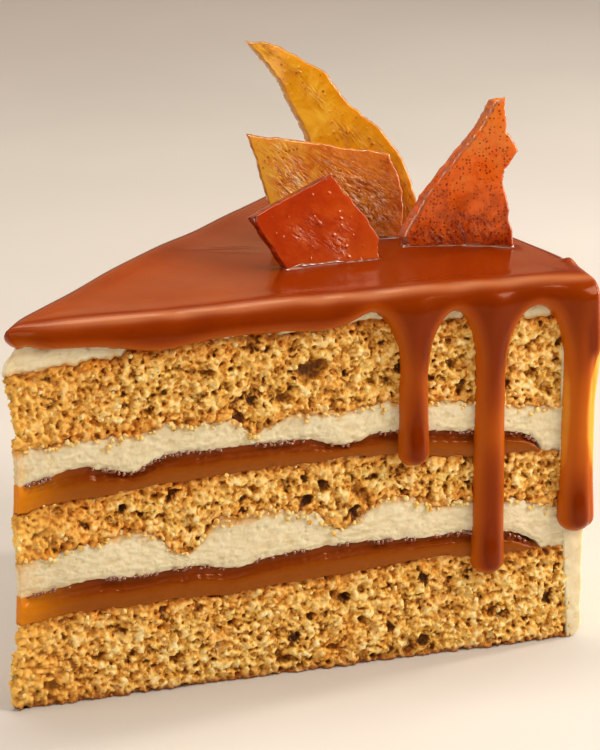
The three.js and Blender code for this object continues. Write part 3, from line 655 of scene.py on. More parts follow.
def whipped_cream_icing(colours):
    """Whipped butter cream, spread by knife: pale, satin, with soft light inside and warmer
    stains where crumb and caramel touch it."""
    material, add, shader = new_material(
        "spread_butter_cream", IOR=1.45, Subsurface_Weight=0.35, Subsurface_Scale=2.2 * MM,
        Subsurface_Radius=(1.0, 0.75, 0.4), Specular_IOR_Level=0.45)
    place = add("TexCoord", give="Object")
    hollow, soaked = (add("Attribute", attribute_name=name, give="Fac") for name in ("hollow", "soaked"))
    base = add("ValToRGB", hollow, stops=[
        (0.1, colours.cream_light), (0.5, colours.cream), (0.9, colours.cream_shade)])
    patches = add("TexNoise", place, Scale=1 / (5 * MM), Detail=4.0, Roughness=0.65)
    patches = add("MapRange", patches, From_Min=0.45, From_Max=0.75, To_Max=0.4)
    base = add("Mix", Factor=patches, A=base, B=colours.cream_shade, **BLEND)
    blots = add("TexNoise", place, Scale=1 / (1.7 * MM), Detail=3.0, Roughness=0.6)
    blots = add("MapRange", add("Math ADD", blots, soaked), From_Min=0.62, From_Max=1.25)
    base = add("Mix", Factor=blots, A=base, B=colours.cream_stain, **BLEND)
    fine = add("TexNoise", place, Scale=1 / (0.5 * MM), Detail=3.0)
    return dress(
        material, shader, Base_Color=base, Roughness=add("MapRange", fine, To_Min=0.38, To_Max=0.62),
        Normal=add("Bump", Height=fine, Strength=0.45, Distance=0.12 * MM))


def soft_caramel(colours):
    """Soft caramel set between layers and cut clean: milky brown, wet in the groove along its upper
    edge and darker there as painted shade."""
    material, add, shader = new_material(
        "set_soft_caramel", IOR=1.48, Subsurface_Weight=0.15, Subsurface_Scale=1.2 * MM,
        Subsurface_Radius=(1.0, 0.35, 0.1), Coat_Weight=0.1, Coat_Roughness=0.08, Specular_IOR_Level=0.25,
        Specular_Tint=linear("#ffb880"))
    place = add("TexCoord", give="Object")
    rise, thin = (add("Attribute", attribute_name=name, give="Fac") for name in ("rise", "thin"))
    streaks = add("Mapping", place, Scale=(0.35, 0.35, 1.6))
    streaks = add("TexNoise", streaks, Scale=1 / (1.8 * MM), Detail=3.0)
    height = add("Math MULTIPLY_ADD", streaks, 0.24, rise)
    # Painted shade: darker towards the top, in the groove along the upper edge.
    base = add("ValToRGB", height, stops=[
        (0.1, colours.caramel_light), (0.6, colours.caramel), (0.72, colours.caramel_dark_and_groove_shade),
        (1.0, colours.caramel_dark_and_groove_shade)])
    # Painted light shining through the thin tip.
    base = add("Mix", Factor=thin, A=base, B=colours.caramel_tip_glow, **BLEND)
    fine = add("TexNoise", place, Scale=1 / (1.1 * MM), Detail=2.0)
    return dress(
        material, shader, Base_Color=base,
        Roughness=add("MapRange", height, From_Min=0.5, From_Max=0.9, To_Min=0.38, To_Max=0.12),
        Normal=add("Bump", Height=fine, Strength=0.3, Distance=0.12 * MM))


def wet_caramel(colours):
    """Caramel pressed or drawn out into beads and rims: wet and dark, with white glints."""
    material, add, shader = new_material(
        "wet_caramel_beads", IOR=1.6, Subsurface_Weight=0.1, Subsurface_Scale=0.8 * MM, Coat_Weight=1.0,
        Coat_Roughness=0.03, Specular_IOR_Level=0.9)
    place = add("TexCoord", give="Object")
    cloud = add("TexNoise", place, Scale=1 / (2.5 * MM), Detail=2.0)
    base = add("ValToRGB", cloud, stops=[(0.35, colours.caramel_dark_and_groove_shade), (0.65, colours.bead)])
    roughness = add("MapRange", cloud, To_Min=0.06, To_Max=0.16)
    return dress(material, shader, Base_Color=base, Roughness=roughness)


def poured_caramel(colours):
    """Caramel glaze, poured warm and set glossy: dark red-brown where it is thick, amber where it
    is thin at its edges, paler on the drips' sides and darker in their cores, partly from thickness and
    partly painted reflection, with painted light shining through some drips and the near corner, and a
    painted highlight over the thinner glaze along the upper edge."""
    material, add, shader = new_material(
        "poured_caramel_glaze", IOR=1.48, Subsurface_Weight=0.3, Subsurface_Scale=1.6 * MM,
        Subsurface_Radius=(1.0, 0.32, 0.06), Coat_Weight=0.1, Coat_Roughness=0.05, Specular_IOR_Level=0.2,
        Specular_Tint=linear("#ffb27c"))
    place = add("TexCoord", give="Object")
    thick, crest = (add("Attribute", attribute_name=name, give="Fac") for name in ("thickness", "crest"))
    cloud = add("TexNoise", place, Scale=1 / (7 * MM), Detail=2.0)
    thick = add("Math SUBTRACT", add("Math MULTIPLY_ADD", cloud, 0.16, thick), 0.08)
    # The thinner, the paler: partly real thickness, partly painted reflection and painted light shining
    # through.
    base = add("ValToRGB", thick, stops=[
        (0.0, colours.glaze_thin_and_glow), (0.2, colours.glaze_edge), (0.6, colours.glaze),
        (0.95, colours.glaze_thick)])
    # Painted highlight along the crest, over thinner glaze.
    base = add("Mix", Factor=add("Math MULTIPLY", crest, 0.4), A=base, B=colours.glaze_crest_highlight, **BLEND)
    roughness = add("MapRange", cloud, To_Min=0.12, To_Max=0.24)
    return dress(material, shader, Base_Color=base, Roughness=roughness)


# Each shard's sugar: its slot, which is also the name of its main colour, then its own colours where it
# is clear and burnt, and the colour of its broken edges, partly a painted reflection on their bevel, the size
# of its patches and flecks in mm, how strong patches and flecks are, how much more burnt it is towards its
# right and its top, how wrinkled it is, which also sets its painted highlights, and how deep its bubbles are.
SUGARS = {
    "shard_tall": dict(
        slot="shard_yellow", name="yellow_boiled_sugar", clear="#f6c23c", burnt="#a8500a", broken="#b9865a",
        patch=5.0, contrast=0.7, fleck=0.7, flecked=0.0, across=0.1, up=-0.1, wrinkled=0.35, bubbly=0.5),
    "shard_crackled": dict(
        slot="shard_amber", name="amber_boiled_sugar", clear="#eeb03a", burnt="#c25e18", broken="#a0522c",
        patch=3.0, contrast=0.9, fleck=0.6, flecked=0.0, across=0.3, up=0.0, wrinkled=1.4, bubbly=0.3),
    "shard_front": dict(
        slot="shard_red", name="red_boiled_sugar", clear="#d05a14", burnt="#7c1802", broken="#6a1a06",
        patch=6.0, contrast=0.45, fleck=1.2, flecked=-0.3, across=-0.1, up=0.1, wrinkled=0.3, bubbly=0.45),
    "shard_right": dict(
        slot="shard_orange", name="orange_boiled_sugar", clear="#f08a30", burnt="#962604", broken="#b06a52",
        patch=3.5, contrast=0.8, fleck=0.52, flecked=0.36, across=0.0, up=-0.46, wrinkled=0.3, bubbly=0.35),
}
CHARRED = (0.02, 0.003, 0.0, 1)
WRINKLE_HIGHLIGHT = "#ffdcb4"


def boiled_sugar(look, main):
    """Boiled sugar, poured thin, set and broken: clear and glossy, full of small bubbles, with darker burnt
    flecks, painted shade in the hollows of its wrinkles, pale painted highlights along them and a partly
    painted reflection on its broken edges."""
    material, add, shader = new_material(
        look["name"], IOR=1.5, Transmission_Weight=0.12, Subsurface_Weight=0.45, Subsurface_Scale=2.0 * MM,
        Subsurface_Radius=(1.0, 0.4, 0.08), Coat_Weight=0.3, Coat_Roughness=0.04, Specular_IOR_Level=0.5,
        Specular_Tint=linear("#ffc896"))
    clear, burnt, broken = (linear(look[key]) for key in ("clear", "burnt", "broken"))
    place = add("TexCoord", give="Object")
    hollow, crackle, across, rise, edge = (
        add("Attribute", attribute_name=name, give="Fac")
        for name in ("hollow", "crackle", "across", "rise", "edge"))
    across = add("Math SUBTRACT", across, 0.5)
    rise = add("Math SUBTRACT", rise, 0.5)
    patches = add("TexNoise", place, Scale=1 / (look["patch"] * MM), Detail=4.0, Roughness=0.65,
                  Distortion=0.7)
    half = 0.5 * look["contrast"]
    mixed = add("MapRange", patches, To_Min=0.5 - half, To_Max=0.5 + half)
    # Painted shade: darker in the hollows of the wrinkles.
    mixed = add("Math MULTIPLY_ADD", add("Math MULTIPLY", hollow, crackle), 1.1, mixed)
    mixed = add("Math MULTIPLY_ADD", across, look["across"], mixed)
    mixed = add("Math MULTIPLY_ADD", rise, look["up"], mixed)
    base = add("ValToRGB", mixed, stops=[(0.32, clear), (0.52, main), (0.82, burnt)])

    distance, tint = add("TexVoronoi", place, Scale=1 / (look["fleck"] * MM), give=("Distance", "Color"))
    flecks = add("Math MULTIPLY", add("SeparateColor", tint), 0.5)
    swarms = add("TexNoise", place, Scale=1 / (5 * MM), Detail=2.0)
    flecks = add("Math MULTIPLY_ADD", swarms, 0.45, flecks)
    flecks = add("Math MULTIPLY_ADD", mixed, look["flecked"], flecks)
    share = add("MapRange", flecks, From_Min=0.69, From_Max=0.75, To_Max=0.8)
    share = add("Math MULTIPLY", share, add("MapRange", distance, From_Min=0.5, From_Max=0.3))
    base = add("Mix", Factor=share, A=base, B=add("Mix", Factor=0.45, A=burnt, B=CHARRED, **BLEND), **BLEND)
    # The broken edges' colour, mixed by a noise: partly a painted reflection on their bevel.
    glints = add("TexNoise", place, Scale=1 / (1.3 * MM), Detail=2.0)
    glints = add("MapRange", glints, From_Min=0.35, From_Max=0.6, To_Min=0.15, To_Max=0.9)
    base = add("Mix", Factor=add("Math MULTIPLY", edge, glints), A=base, B=broken, **BLEND)

    sheet = sheet_place(add, across, rise, 0.0, 0.4)
    # Painted highlight: pale streaks along the wrinkles.
    wrinkle_highlight = add("TexNoise", sheet, Scale=1 / (0.8 * MM), Detail=3.0, Roughness=0.65, Distortion=1.2)
    wrinkle_highlight = add("Math MULTIPLY", add("MapRange", wrinkle_highlight, From_Min=0.5, From_Max=0.64), crackle)
    wrinkle_highlight = add("Math MULTIPLY", wrinkle_highlight, 0.75 * look["wrinkled"], use_clamp=True)
    base = add("Mix", Factor=wrinkle_highlight, A=base, B=linear(WRINKLE_HIGHLIGHT), **BLEND)
    creases = add("TexNoise", sheet, Scale=1 / (0.45 * MM), Detail=2.0, Distortion=0.8)
    creases = add("Math MULTIPLY", add("Math MULTIPLY", creases, crackle), look["wrinkled"])
    return dress(
        material, shader, Base_Color=base, Roughness=add("MapRange", patches, To_Min=0.04, To_Max=0.14),
        Normal=add("Bump", Height=creases, Strength=1.0, Distance=0.6 * MM))


def matte_paper(colours):
    """Coated backdrop paper: pale, matte, with a faint fibre cloud."""
    material, add, shader = new_material("matte_backdrop_paper", IOR=1.45, Roughness=0.75)
    cloud = add("TexNoise", add("TexCoord", give="Object"), Scale=9.0, Detail=5.0)
    base = add("ValToRGB", cloud, stops=[(0.3, colours.floor), (0.7, colours.floor_light)])
    return dress(material, shader, Base_Color=base)


# ---------------------------------------------------------------- layers of the slice
FACE_STEP = 0.21  # between points on a cut face
CARAMEL_STEP = 0.22
FEWEST_ROWS = 12
STEPS_ACROSS = 6
FACE_EASE = 2.5  # a cut face's relief grows over this length from the tip
COAT_OVERLAP = 0.5  # how far a layer reaches into the coat
NEAR_NORMAL = np.array([-math.sin(HALF_ANGLE), -math.cos(HALF_ANGLE), 0])
FAR_NORMAL = np.array([-math.sin(HALF_ANGLE), math.cos(HALF_ANGLE), 0])
TIP_NORMAL = np.array([-1.0, 0, 0])


def angle_across(j, steps):
    return HALF_ANGLE * (2 * j / steps - 1)


def ways_out(i, j, steps, end, end_normal):
    """Which points lie on a cut face or on an end, and which way is out of the slice there."""
    near, far, last = ((number == edge)[:, None] for number, edge in ((j, 0), (j, steps), (i, end)))
    way = near * NEAR_NORMAL + far * FAR_NORMAL + last * end_normal
    length = np.linalg.norm(way, axis=1)
    return (length > 0).astype(float), way / np.maximum(length, 1e-9)[:, None]


def pressed_pores(along, height, far):
    """How deep the named large pores go at each point of a cut face."""
    depth = 0 * along
    place = np.where(far, FACE_LENGTH - along, along)
    for n, (pore, level, wide, high, deep) in enumerate(BIG_PORES):
        across = np.hypot((place - pore) / wide, (height - level) / high)
        turn = np.arctan2(height - level, place - pore)
        edge = 1 + 0.22 * np.sin(2 * turn + n) + 0.14 * np.sin(5 * turn + 2 * n)
        depth = np.maximum(depth, deep * np.sqrt(np.maximum(0, 1 - (across / edge) ** 2)))
    return depth


def sponge_relief(radius, height, share, far, seed):
    """How deep each point of a sponge's cut face lies, and how much of that is a large pore."""
    pressed = pressed_pores(radius, height, far)
    return 0.35 + 0.3 * by_face(far, patch_noise, seed, radius, height, 6.5) + pressed, pressed


def cream_relief(radius, height, share, far, seed):
    """Cream lies unevenly in its cut face, and deeper along its foot and its head."""
    waves = by_face(far, patch_noise, seed, radius, height, 8)
    return 0.1 + 0.28 * waves + 0.35 * bell(share, 0.12) + 0.35 * bell(1 - share, 0.12), 0


def caramel_relief(radius, height, share, far, seed):
    """Caramel bulges below its middle and has a groove along its upper edge."""
    groove = 0.85 + 0.3 * by_face(far, value_noise, seed, radius, 7)
    return 0.15 - 0.45 * bell(share - 0.32, 0.26) + groove * smooth_step(0.56, 0.74, share), 0


def layer_body(layer, relief, end=None, height_step=FACE_STEP):
    """One layer between two boundaries, its cut faces finely stepped, and the radius, height and share
    of the thickness of each point. It ends inside the coat, or at an end of its own."""
    foot, head, seed = layer
    middle = np.array([0.5 * FACE_LENGTH])
    thick = (head(middle, 0 * middle) - foot(middle, 0 * middle))[0]
    along_steps = round((COAT_INNER_RADIUS - TIP_RADIUS) / FACE_STEP)
    rows = max(FEWEST_ROWS, round(thick / height_step))
    (i, j, k), quads = box_of_steps(along_steps, STEPS_ACROSS, rows)
    angle = angle_across(j, STEPS_ACROSS)
    share = k / rows
    guess = TIP_RADIUS + ((end or COAT_INNER_RADIUS) - TIP_RADIUS) * i / along_steps
    low, high = foot(guess, angle), head(guess, angle)
    height = low + (high - low) * share
    outer = end or coat_inner(height) + COAT_OVERLAP
    radius = TIP_RADIUS + (outer - TIP_RADIUS) * i / along_steps
    far = j == STEPS_ACROSS
    face = ((j == 0) | far) * smooth_step(0, FACE_EASE, radius - TIP_RADIUS)
    depth, pressed = relief(radius, height, share, far, seed)
    cut, way = ways_out(i, j, STEPS_ACROSS, 0, TIP_NORMAL)
    marks = {"cut": cut, "way_out": way, "pressed": pressed * face, "rise": share}
    return slice_point(radius, angle, height, depth * face), quads, marks, (radius, height, share)


def edge_of(name, lift=0.0):
    return lambda radius, angle: boundary_height(name, radius, angle) + lift


def caramel_top(filling, lift):
    def height(radius, angle):
        return caramel_head(f"{filling}_cream_foot", f"{filling}_caramel_foot", radius, angle) + lift
    return height


# Each layer's foot, head and seed. Neighbours reach a little into each other.
SPONGES = {
    "sponge_bottom": (edge_of("base"), edge_of("lower_caramel_foot", 0.12), 101),
    "sponge_middle": (edge_of("middle_sponge_foot", -0.12), edge_of("upper_caramel_foot", 0.12), 301),
    "sponge_top": (edge_of("top_sponge_foot", -0.12), edge_of("top_cream_foot", 0.12), 601),
}
CREAMS = {
    "cream_lower": (caramel_top("lower", -0.05), edge_of("middle_sponge_foot"), 201),
    "cream_upper": (caramel_top("upper", -0.05), edge_of("top_sponge_foot"), 501),
}
CARAMELS = {
    "caramel_lower": (edge_of("lower_caramel_foot", -0.05), caramel_top("lower", 0.1), 151),
    "caramel_upper": (edge_of("upper_caramel_foot", -0.05), caramel_top("upper", 0.1), 551),
}


# ---------------------------------------------------------------- cream coat
KNIFE_BAND = 9.0  # height of one band of the palette knife


def side_coat_body():
    """The cream round the rim, rounded in at its foot, with the bands of a palette knife."""
    steps = (10, 150, 150)
    (i, j, k), quads = box_of_steps(*steps)
    angle = angle_across(j, steps[1])
    height = COAT_TOP * k / steps[2]
    rise = np.minimum(1, height / COAT_FOOT_ROUNDING)
    rounded = COAT_FOOT_RADIUS + (CAKE_RADIUS - COAT_FOOT_RADIUS) * np.sqrt(1 - (1 - rise) ** 2)
    arc = angle * CAKE_RADIUS
    band = np.sin(height / KNIFE_BAND * math.pi + 0.9 * patch_noise(arc, height, 16, 71)) ** 2
    band = band * (0.5 + 0.5 * patch_noise(arc, height, 11, 72))
    swipe = patch_noise(arc * 0.3, height, 3.2, 73)
    outer = rounded - rise * (0.5 * band + 0.16 * (1 + swipe))
    inner = coat_inner(height) - 0.3
    radius = inner + (outer - inner) * i / steps[0]
    face = (j == 0) | (j == steps[1])
    depth = np.where(j == 0, patch_noise(radius, height, 5, 74), patch_noise(radius, height, 5, 75))
    points = slice_point(radius, angle, height, (0.12 + 0.25 * depth) * face)
    radial = np.stack([np.cos(angle), np.sin(angle), 0 * angle], -1)
    cut, way = ways_out(i, j, steps[1], steps[0], radial)
    cut = cut * smooth_step(0, 3, height)
    return points, quads, {"cut": cut, "way_out": way, "soaked": 0 * cut}


def top_coat_body():
    """The cream under the glaze, which reaches out into the side coat."""
    steps = (430, STEPS_ACROSS, 22)
    outer = 0.5 * (COAT_INNER_RADIUS + CAKE_RADIUS)
    (i, j, k), quads = box_of_steps(*steps)
    angle = angle_across(j, STEPS_ACROSS)
    share = k / steps[2]
    radius = TIP_RADIUS + (outer - TIP_RADIUS) * i / steps[0]
    foot = boundary_height("top_cream_foot", np.minimum(radius, COAT_INNER_RADIUS), angle)
    height = foot + (COAT_TOP - foot) * share
    face = ((j == 0) | (j == STEPS_ACROSS)) * smooth_step(0, FACE_EASE, radius - TIP_RADIUS)
    depth = np.where(j == 0, patch_noise(radius, height, 7, 81), patch_noise(radius, height, 7, 82))
    points = slice_point(radius, angle, height, (0.05 + 0.3 * depth + 0.3 * bell(share, 0.12)) * face)
    cut, way = ways_out(i, j, STEPS_ACROSS, 0, TIP_NORMAL)
    return points, quads, {"cut": cut, "way_out": way, "soaked": 0.55 * bell(share, 0.14)}


# ---------------------------------------------------------------- caramel glaze
VOXEL = 0.49
EDGE_TUCK = 0.75  # how far the skirt reaches into the cake behind it
LIP_ROUND = 1.6
RIM_ROUND = 4.4
FIELD_LOW = 12.9
FIELD_HIGH = 76.0
FIELD_MARGIN = 4.2  # round the slice, seen from above
PLACE_STEP = 0.25
LINE_STEP = 0.1  # between points of the skirt's outline
FINE_STEP = 0.02
FARTHEST = 6.0  # no distance from the outline counts for more
NUDGE = 0.05
LONGEST_MOVE = 0.3
# The ripple beside the front shard, seen from above: its middle and the cosine and sine of its turn.
RIPPLE_MIDDLE = (4, 13)
RIPPLE_TURN = (0.761, 0.649)
# Where the visible drips are painted lighter, as light shining through them: place, half width, height, half
# height, amount.
GLOW_SPOTS = [(113.6, 3.6, 46, 14, 0.7), (94.9, 2.4, 46, 6.5, 0.4), (79.3, 2.2, 58, 5, 0.25)]


def neighbour(index, side):
    """The drip beside a drip, or the drip itself at the end of the rim line."""
    other = index + side
    return DRIPS[other] if 0 <= other < len(DRIPS) else DRIPS[index]


def root_reach(index, side):
    """How far from a drip's middle its root reaches: half way to its neighbour at most."""
    distance = abs(neighbour(index, side)[0] - DRIPS[index][0]) / 2
    return min(WIDEST_ROOT, distance or WIDEST_ROOT)


def arch_beside(index, side):
    """The arch between a drip and its neighbour: reach, height of its crown and its drop."""
    before = DRIPS[index - 1][3] if index else FIRST_CROWN
    crown = DRIPS[index][3] if side > 0 else before
    ends = [lowest + half for _, half, lowest, _ in (DRIPS[index], neighbour(index, side))]
    return root_reach(index, side), crown, min(ARCH_HEIGHT, crown - max(ends))


def skirt_base(place):
    heights, lumps = SKIRT_EDGE
    back = RIM_LINE - place
    near = sweep_height(heights, place) + lump_height(lumps, place)
    far = sweep_height(heights, back) + lump_height(lumps, CAKE_RADIUS - back)
    return np.where(place <= CAKE_RADIUS, near, np.where(place >= FAR_CORNER, far, RIM_SKIRT_EDGE))


def skirt_foot(place):
    """The lower edge of the skirt along the rim line, as in the solid."""
    settling = 0 * place
    for index, (centre, _, _, _) in enumerate(DRIPS):
        for side in (-1, 1):
            reach, crown, _ = arch_beside(index, side)
            if reach == WIDEST_ROOT:
                beyond = side * (place - centre) > reach
                fall = (crown - skirt_base(place)) * bell(np.abs(place - centre) - reach, ROOT_SETTLING)
                settling = settling + beyond * fall
    foot = skirt_base(place) + settling
    for index in reversed(range(len(DRIPS))):
        centre, half, lowest, _ = DRIPS[index]
        distance = np.abs(place - centre)
        for side in (-1, 1):
            reach, crown, drop = arch_beside(index, side)
            here = (side * (place - centre) >= 0) & (distance <= reach)
            across = np.clip((reach - distance) / (reach - half), 0, 1)
            foot = np.where(here, crown - drop * (1 - np.sqrt(1 - across ** 2)), foot)
        end = lowest + half * (1 - np.sqrt(np.maximum(0, 1 - (distance / half) ** 2)))
        foot = np.where(distance <= half, end, foot)
    return foot


def swelling(height, drip):
    """How much wider a drip is near its end."""
    _, half, lowest, _ = drip
    return 0.16 * bell(height - lowest - half, 1.6 * half)


def skirt_outline():
    """The skirt's lower edge with its swollen drips, as points at even steps."""
    fine = np.arange(0, RIM_LINE + LINE_STEP / 2, FINE_STEP)
    line = np.stack([fine, skirt_foot(fine)], -1)
    for drip in DRIPS:
        inside = np.abs(line[:, 0] - drip[0]) <= drip[1] * 1.001
        line[inside, 0] += (line[inside, 0] - drip[0]) * swelling(line[inside, 1], drip)
    lengths = np.concatenate([[0], np.cumsum(np.hypot(*np.diff(line, axis=0).T))])
    even = np.arange(0, lengths[-1], LINE_STEP)
    return np.stack([np.interp(even, lengths, line[:, axis]) for axis in (0, 1)], -1)


def distance_from(line, spots):
    """How far spots lie from a line of points."""
    tree = KDTree(len(line))
    for n, (place, height) in enumerate(line):
        tree.insert((place, height, 0), n)
    tree.balance()
    nearest = np.array([tree.find((a, b, 0))[1] for a, b in spots])
    best = np.full(len(spots), FARTHEST)
    for first in (np.maximum(nearest - 1, 0), np.minimum(nearest, len(line) - 2)):
        start, run = line[first], line[first + 1] - line[first]
        share = ((spots - start) * run).sum(1) / (run ** 2).sum(1)
        foot = start + np.clip(share, 0, 1)[:, None] * run
        best = np.minimum(best, np.hypot(*(spots - foot).T))
    return best


def skirt_table():
    """For each place and height: how far inside the skirt's outline it lies, how thick the skirt is
    there and how wide its edge is rounded."""
    places = np.arange(0, RIM_LINE + 0.2, PLACE_STEP)
    heights = np.arange(FIELD_LOW, FIELD_HIGH, VOXEL / 2)
    s, z = np.meshgrid(places, heights, indexing="ij")
    unswollen = s.copy()
    drip_zone = np.zeros(s.shape, bool)
    for drip in DRIPS:
        grown = 1 + swelling(z, drip)
        close = np.abs(s - drip[0]) <= drip[1] * grown
        unswollen = np.where(close, drip[0] + (s - drip[0]) / grown, unswollen)
        drip_zone |= np.abs(s - drip[0]) < 10
    wanted = (drip_zone & (z < 73)) | (np.abs(z - skirt_foot(s)) < FARTHEST)
    distance = np.full(s.shape, FARTHEST)
    distance[wanted] = distance_from(skirt_outline(), np.stack([s[wanted], z[wanted]], -1))
    cover = np.where(z > skirt_foot(unswollen), distance, -distance)
    thick = SKIRT_THICKNESS - 1.0 * smooth_step(9, 1, np.minimum(s, RIM_LINE - s))
    edge = np.full(s.shape, LIP_ROUND)
    for centre, half, lowest, _ in DRIPS:
        thick += 1.25 * bell(s - centre, 1.3 * half) * bell(z - lowest - 1.1 * half, 1.6 * half)
        ridge = 0.7 if abs(centre - 0.5 * RIM_LINE) > 0.5 * RIM_ARC else 0.35
        thick += ridge * bell(s - centre, 3.0) * smooth_step(52, 66, z) * smooth_step(76, 70, z)
        within = smooth_step(half + 2.2, half, np.abs(s - centre))
        edge += (half - LIP_ROUND) * within * smooth_step(70, 64, z)
    return places, heights, cover, thick, edge


def look_up(table, places, heights, s, z):
    """Bilinear reading of a table over (place, height)."""
    a = np.clip(s / (places[1] - places[0]), 0, len(places) - 1.001)
    b = np.clip((z - heights[0]) / (heights[1] - heights[0]), 0, len(heights) - 1.001)
    i, j = a.astype(int), b.astype(int)
    u, v = a - i, b - j
    this, following = (table[n, j] * (1 - v) + table[n, j + 1] * v for n in (i, i + 1))
    return this * (1 - u) + following * u


def beside_outline(x, y):
    """How far outside the slice's outline a point lies, and its place along the rim line."""
    x = x - TIP_X
    radius, angle = np.hypot(x, y), np.arctan2(y, x)
    far = y > 0
    side = np.where(far, 1.0, -1.0)
    along = x * math.cos(HALF_ANGLE) + side * y * math.sin(HALF_ANGLE)
    out = -x * math.sin(HALF_ANGLE) + side * y * math.cos(HALF_ANGLE)
    past = np.maximum(0, along - CAKE_RADIUS)
    before = np.maximum(0, TIP_RADIUS - along)
    beside = np.sqrt(np.maximum(out, 0) ** 2 + past ** 2 + before ** 2)
    blunt = TIP_RADIUS * math.cos(HALF_ANGLE) - x
    inside = np.maximum(np.maximum(out, radius - CAKE_RADIUS), blunt)
    face_place = np.clip(along, TIP_RADIUS, CAKE_RADIUS)
    face_place = np.where(far, RIM_LINE - face_place, face_place)
    rim_place = CAKE_RADIUS + (np.clip(angle, -HALF_ANGLE, HALF_ANGLE) + HALF_ANGLE) * CAKE_RADIUS
    on_rim = (out <= 0) & (radius - CAKE_RADIUS > out)
    return np.where(out > 0, beside, inside), np.where(on_rim, rim_place, face_place)


def past_near_corner(x, y):
    """How far a point lies beyond the rim's near corner, along the near cut face."""
    return (x - TIP_X) * math.cos(HALF_ANGLE) - y * math.sin(HALF_ANGLE) - CAKE_RADIUS


def from_shard_foot(x, y, shard):
    """Distance from a shard's foot, seen from above."""
    turn = math.radians(shard["turn"])
    dx, dy = x - TIP_X - shard["foot"][0], y - shard["foot"][1]
    along = dx * math.cos(turn) + dy * math.sin(turn)
    across = -dx * math.sin(turn) + dy * math.cos(turn)
    (left, _), (right, _) = shard["rows"][0]
    return np.hypot(np.maximum(np.abs(along - 0.5 * (left + right)) - 0.5 * (right - left), 0),
                    np.maximum(np.abs(across) - 0.5 * SHARD_THICKNESS, 0))


def glaze_top_height(x, y, distance):
    """The poured top: level, sinking a little to the rim and to the tip, with slow waves, a ripple
    beside the front shard, an uneven upper edge and a raised meniscus round each shard."""
    radius = np.hypot(x - TIP_X, y)
    top = GLAZE_TOP - 0.15 + 0 * x
    top -= 0.9 * bell(CAKE_RADIUS + 2.4 - radius, 9)
    top -= 0.5 * bell(radius, 5)
    to_far_edge = (x - TIP_X) * math.sin(HALF_ANGLE) - y * math.cos(HALF_ANGLE)
    top += 0.9 * bell(radius - 46, 24) * bell(to_far_edge, 7)
    top += 0.11 * np.sin(x / 7.3 + 0.8 * np.sin(y / 8.1)) * np.sin(y / 5.9 + 1.1)
    top += 0.07 * np.sin(x / 4.1 + y / 9.7)
    top += 0.22 * bell(distance + 2.2, 2.6)
    dx, dy = x - RIPPLE_MIDDLE[0], y - RIPPLE_MIDDLE[1]
    along = dx * RIPPLE_TURN[0] - dy * RIPPLE_TURN[1]
    away = dx * RIPPLE_TURN[1] + dy * RIPPLE_TURN[0]
    top += 0.15 * bell(away - 0.2 * along, 0.8) * bell(along, 6)
    top += 0.09 * bell(away + 2.4 + 0.1 * along, 0.8) * bell(along - 2, 5)
    uneven = np.sin(x / 1.9 + 0.9 * np.sin(x / 4.3))
    top += 0.16 * bell(distance - 0.6, 1.8) * uneven * smooth_step(-3, -12, y)
    for shard in SHARDS.values():
        top += 0.3 * np.exp(-from_shard_foot(x, y, shard) / 0.9)
    top += 0.9 * bell(np.hypot(x - 50.6, y + 35.6), 1.3)
    return top


def glaze_field(distance, cover, thick, edge, x, y, z):
    """Below zero inside the glaze: the skirt and the poured top, rounded into each other, less
    the cake under them."""
    inner = np.minimum(distance, 0) * smooth_step(64, 70, z)
    lack = np.maximum(0, 1 - (cover - inner) / edge)
    skirt = thick * (np.sqrt(lack ** 2 + (np.maximum(distance, 0) / thick) ** 2) - 1) + inner
    above = z - glaze_top_height(x, y, distance)
    rounded = np.hypot(np.maximum(skirt + RIM_ROUND, 0), np.maximum(above + RIM_ROUND, 0)) - RIM_ROUND
    field = np.where((skirt > -RIM_ROUND) | (above > -RIM_ROUND), rounded, np.maximum(skirt, above))
    cake = np.maximum(distance + EDGE_TUCK, z - GLAZE_UNDERSIDE + 0.3)
    return np.maximum(field, -cake)


def glaze_cover(tables, x, y, z):
    """The tables read beside a point, blended over the tip where both faces meet. The drip at the
    rim's near corner ends just past it, and the outline is drawn in there."""
    places, heights, cover, thick, edge = tables
    distance, place = beside_outline(x, y)
    cover_here, thick_here, edge_here = (
        look_up(table, places, heights, place, z) for table in (cover, thick, edge))
    share = np.clip(0.5 + y / 3.0, 0, 1)
    near_place = np.where(y > 0, RIM_LINE - place, place)
    near, far = (look_up(cover, places, heights, p, z) for p in (near_place, RIM_LINE - near_place))
    at_tip = np.hypot(x - TIP_X, y) < 5
    cover_here = np.where(at_tip, near * (1 - share) + far * share, cover_here)
    past = past_near_corner(x, y)
    round_corner = smooth_step(0.2, 2.6, past) * (place < CAKE_RADIUS + 3.2)
    cover_here = cover_here - 1.7 * round_corner * smooth_step(56, 47, z)
    drawn_in = smooth_step(0, 2, past) * bell(np.maximum(place - CAKE_RADIUS, 0), 6) * bell(z - 74, 8)
    return distance + 1.4 * drawn_in, cover_here, thick_here, edge_here


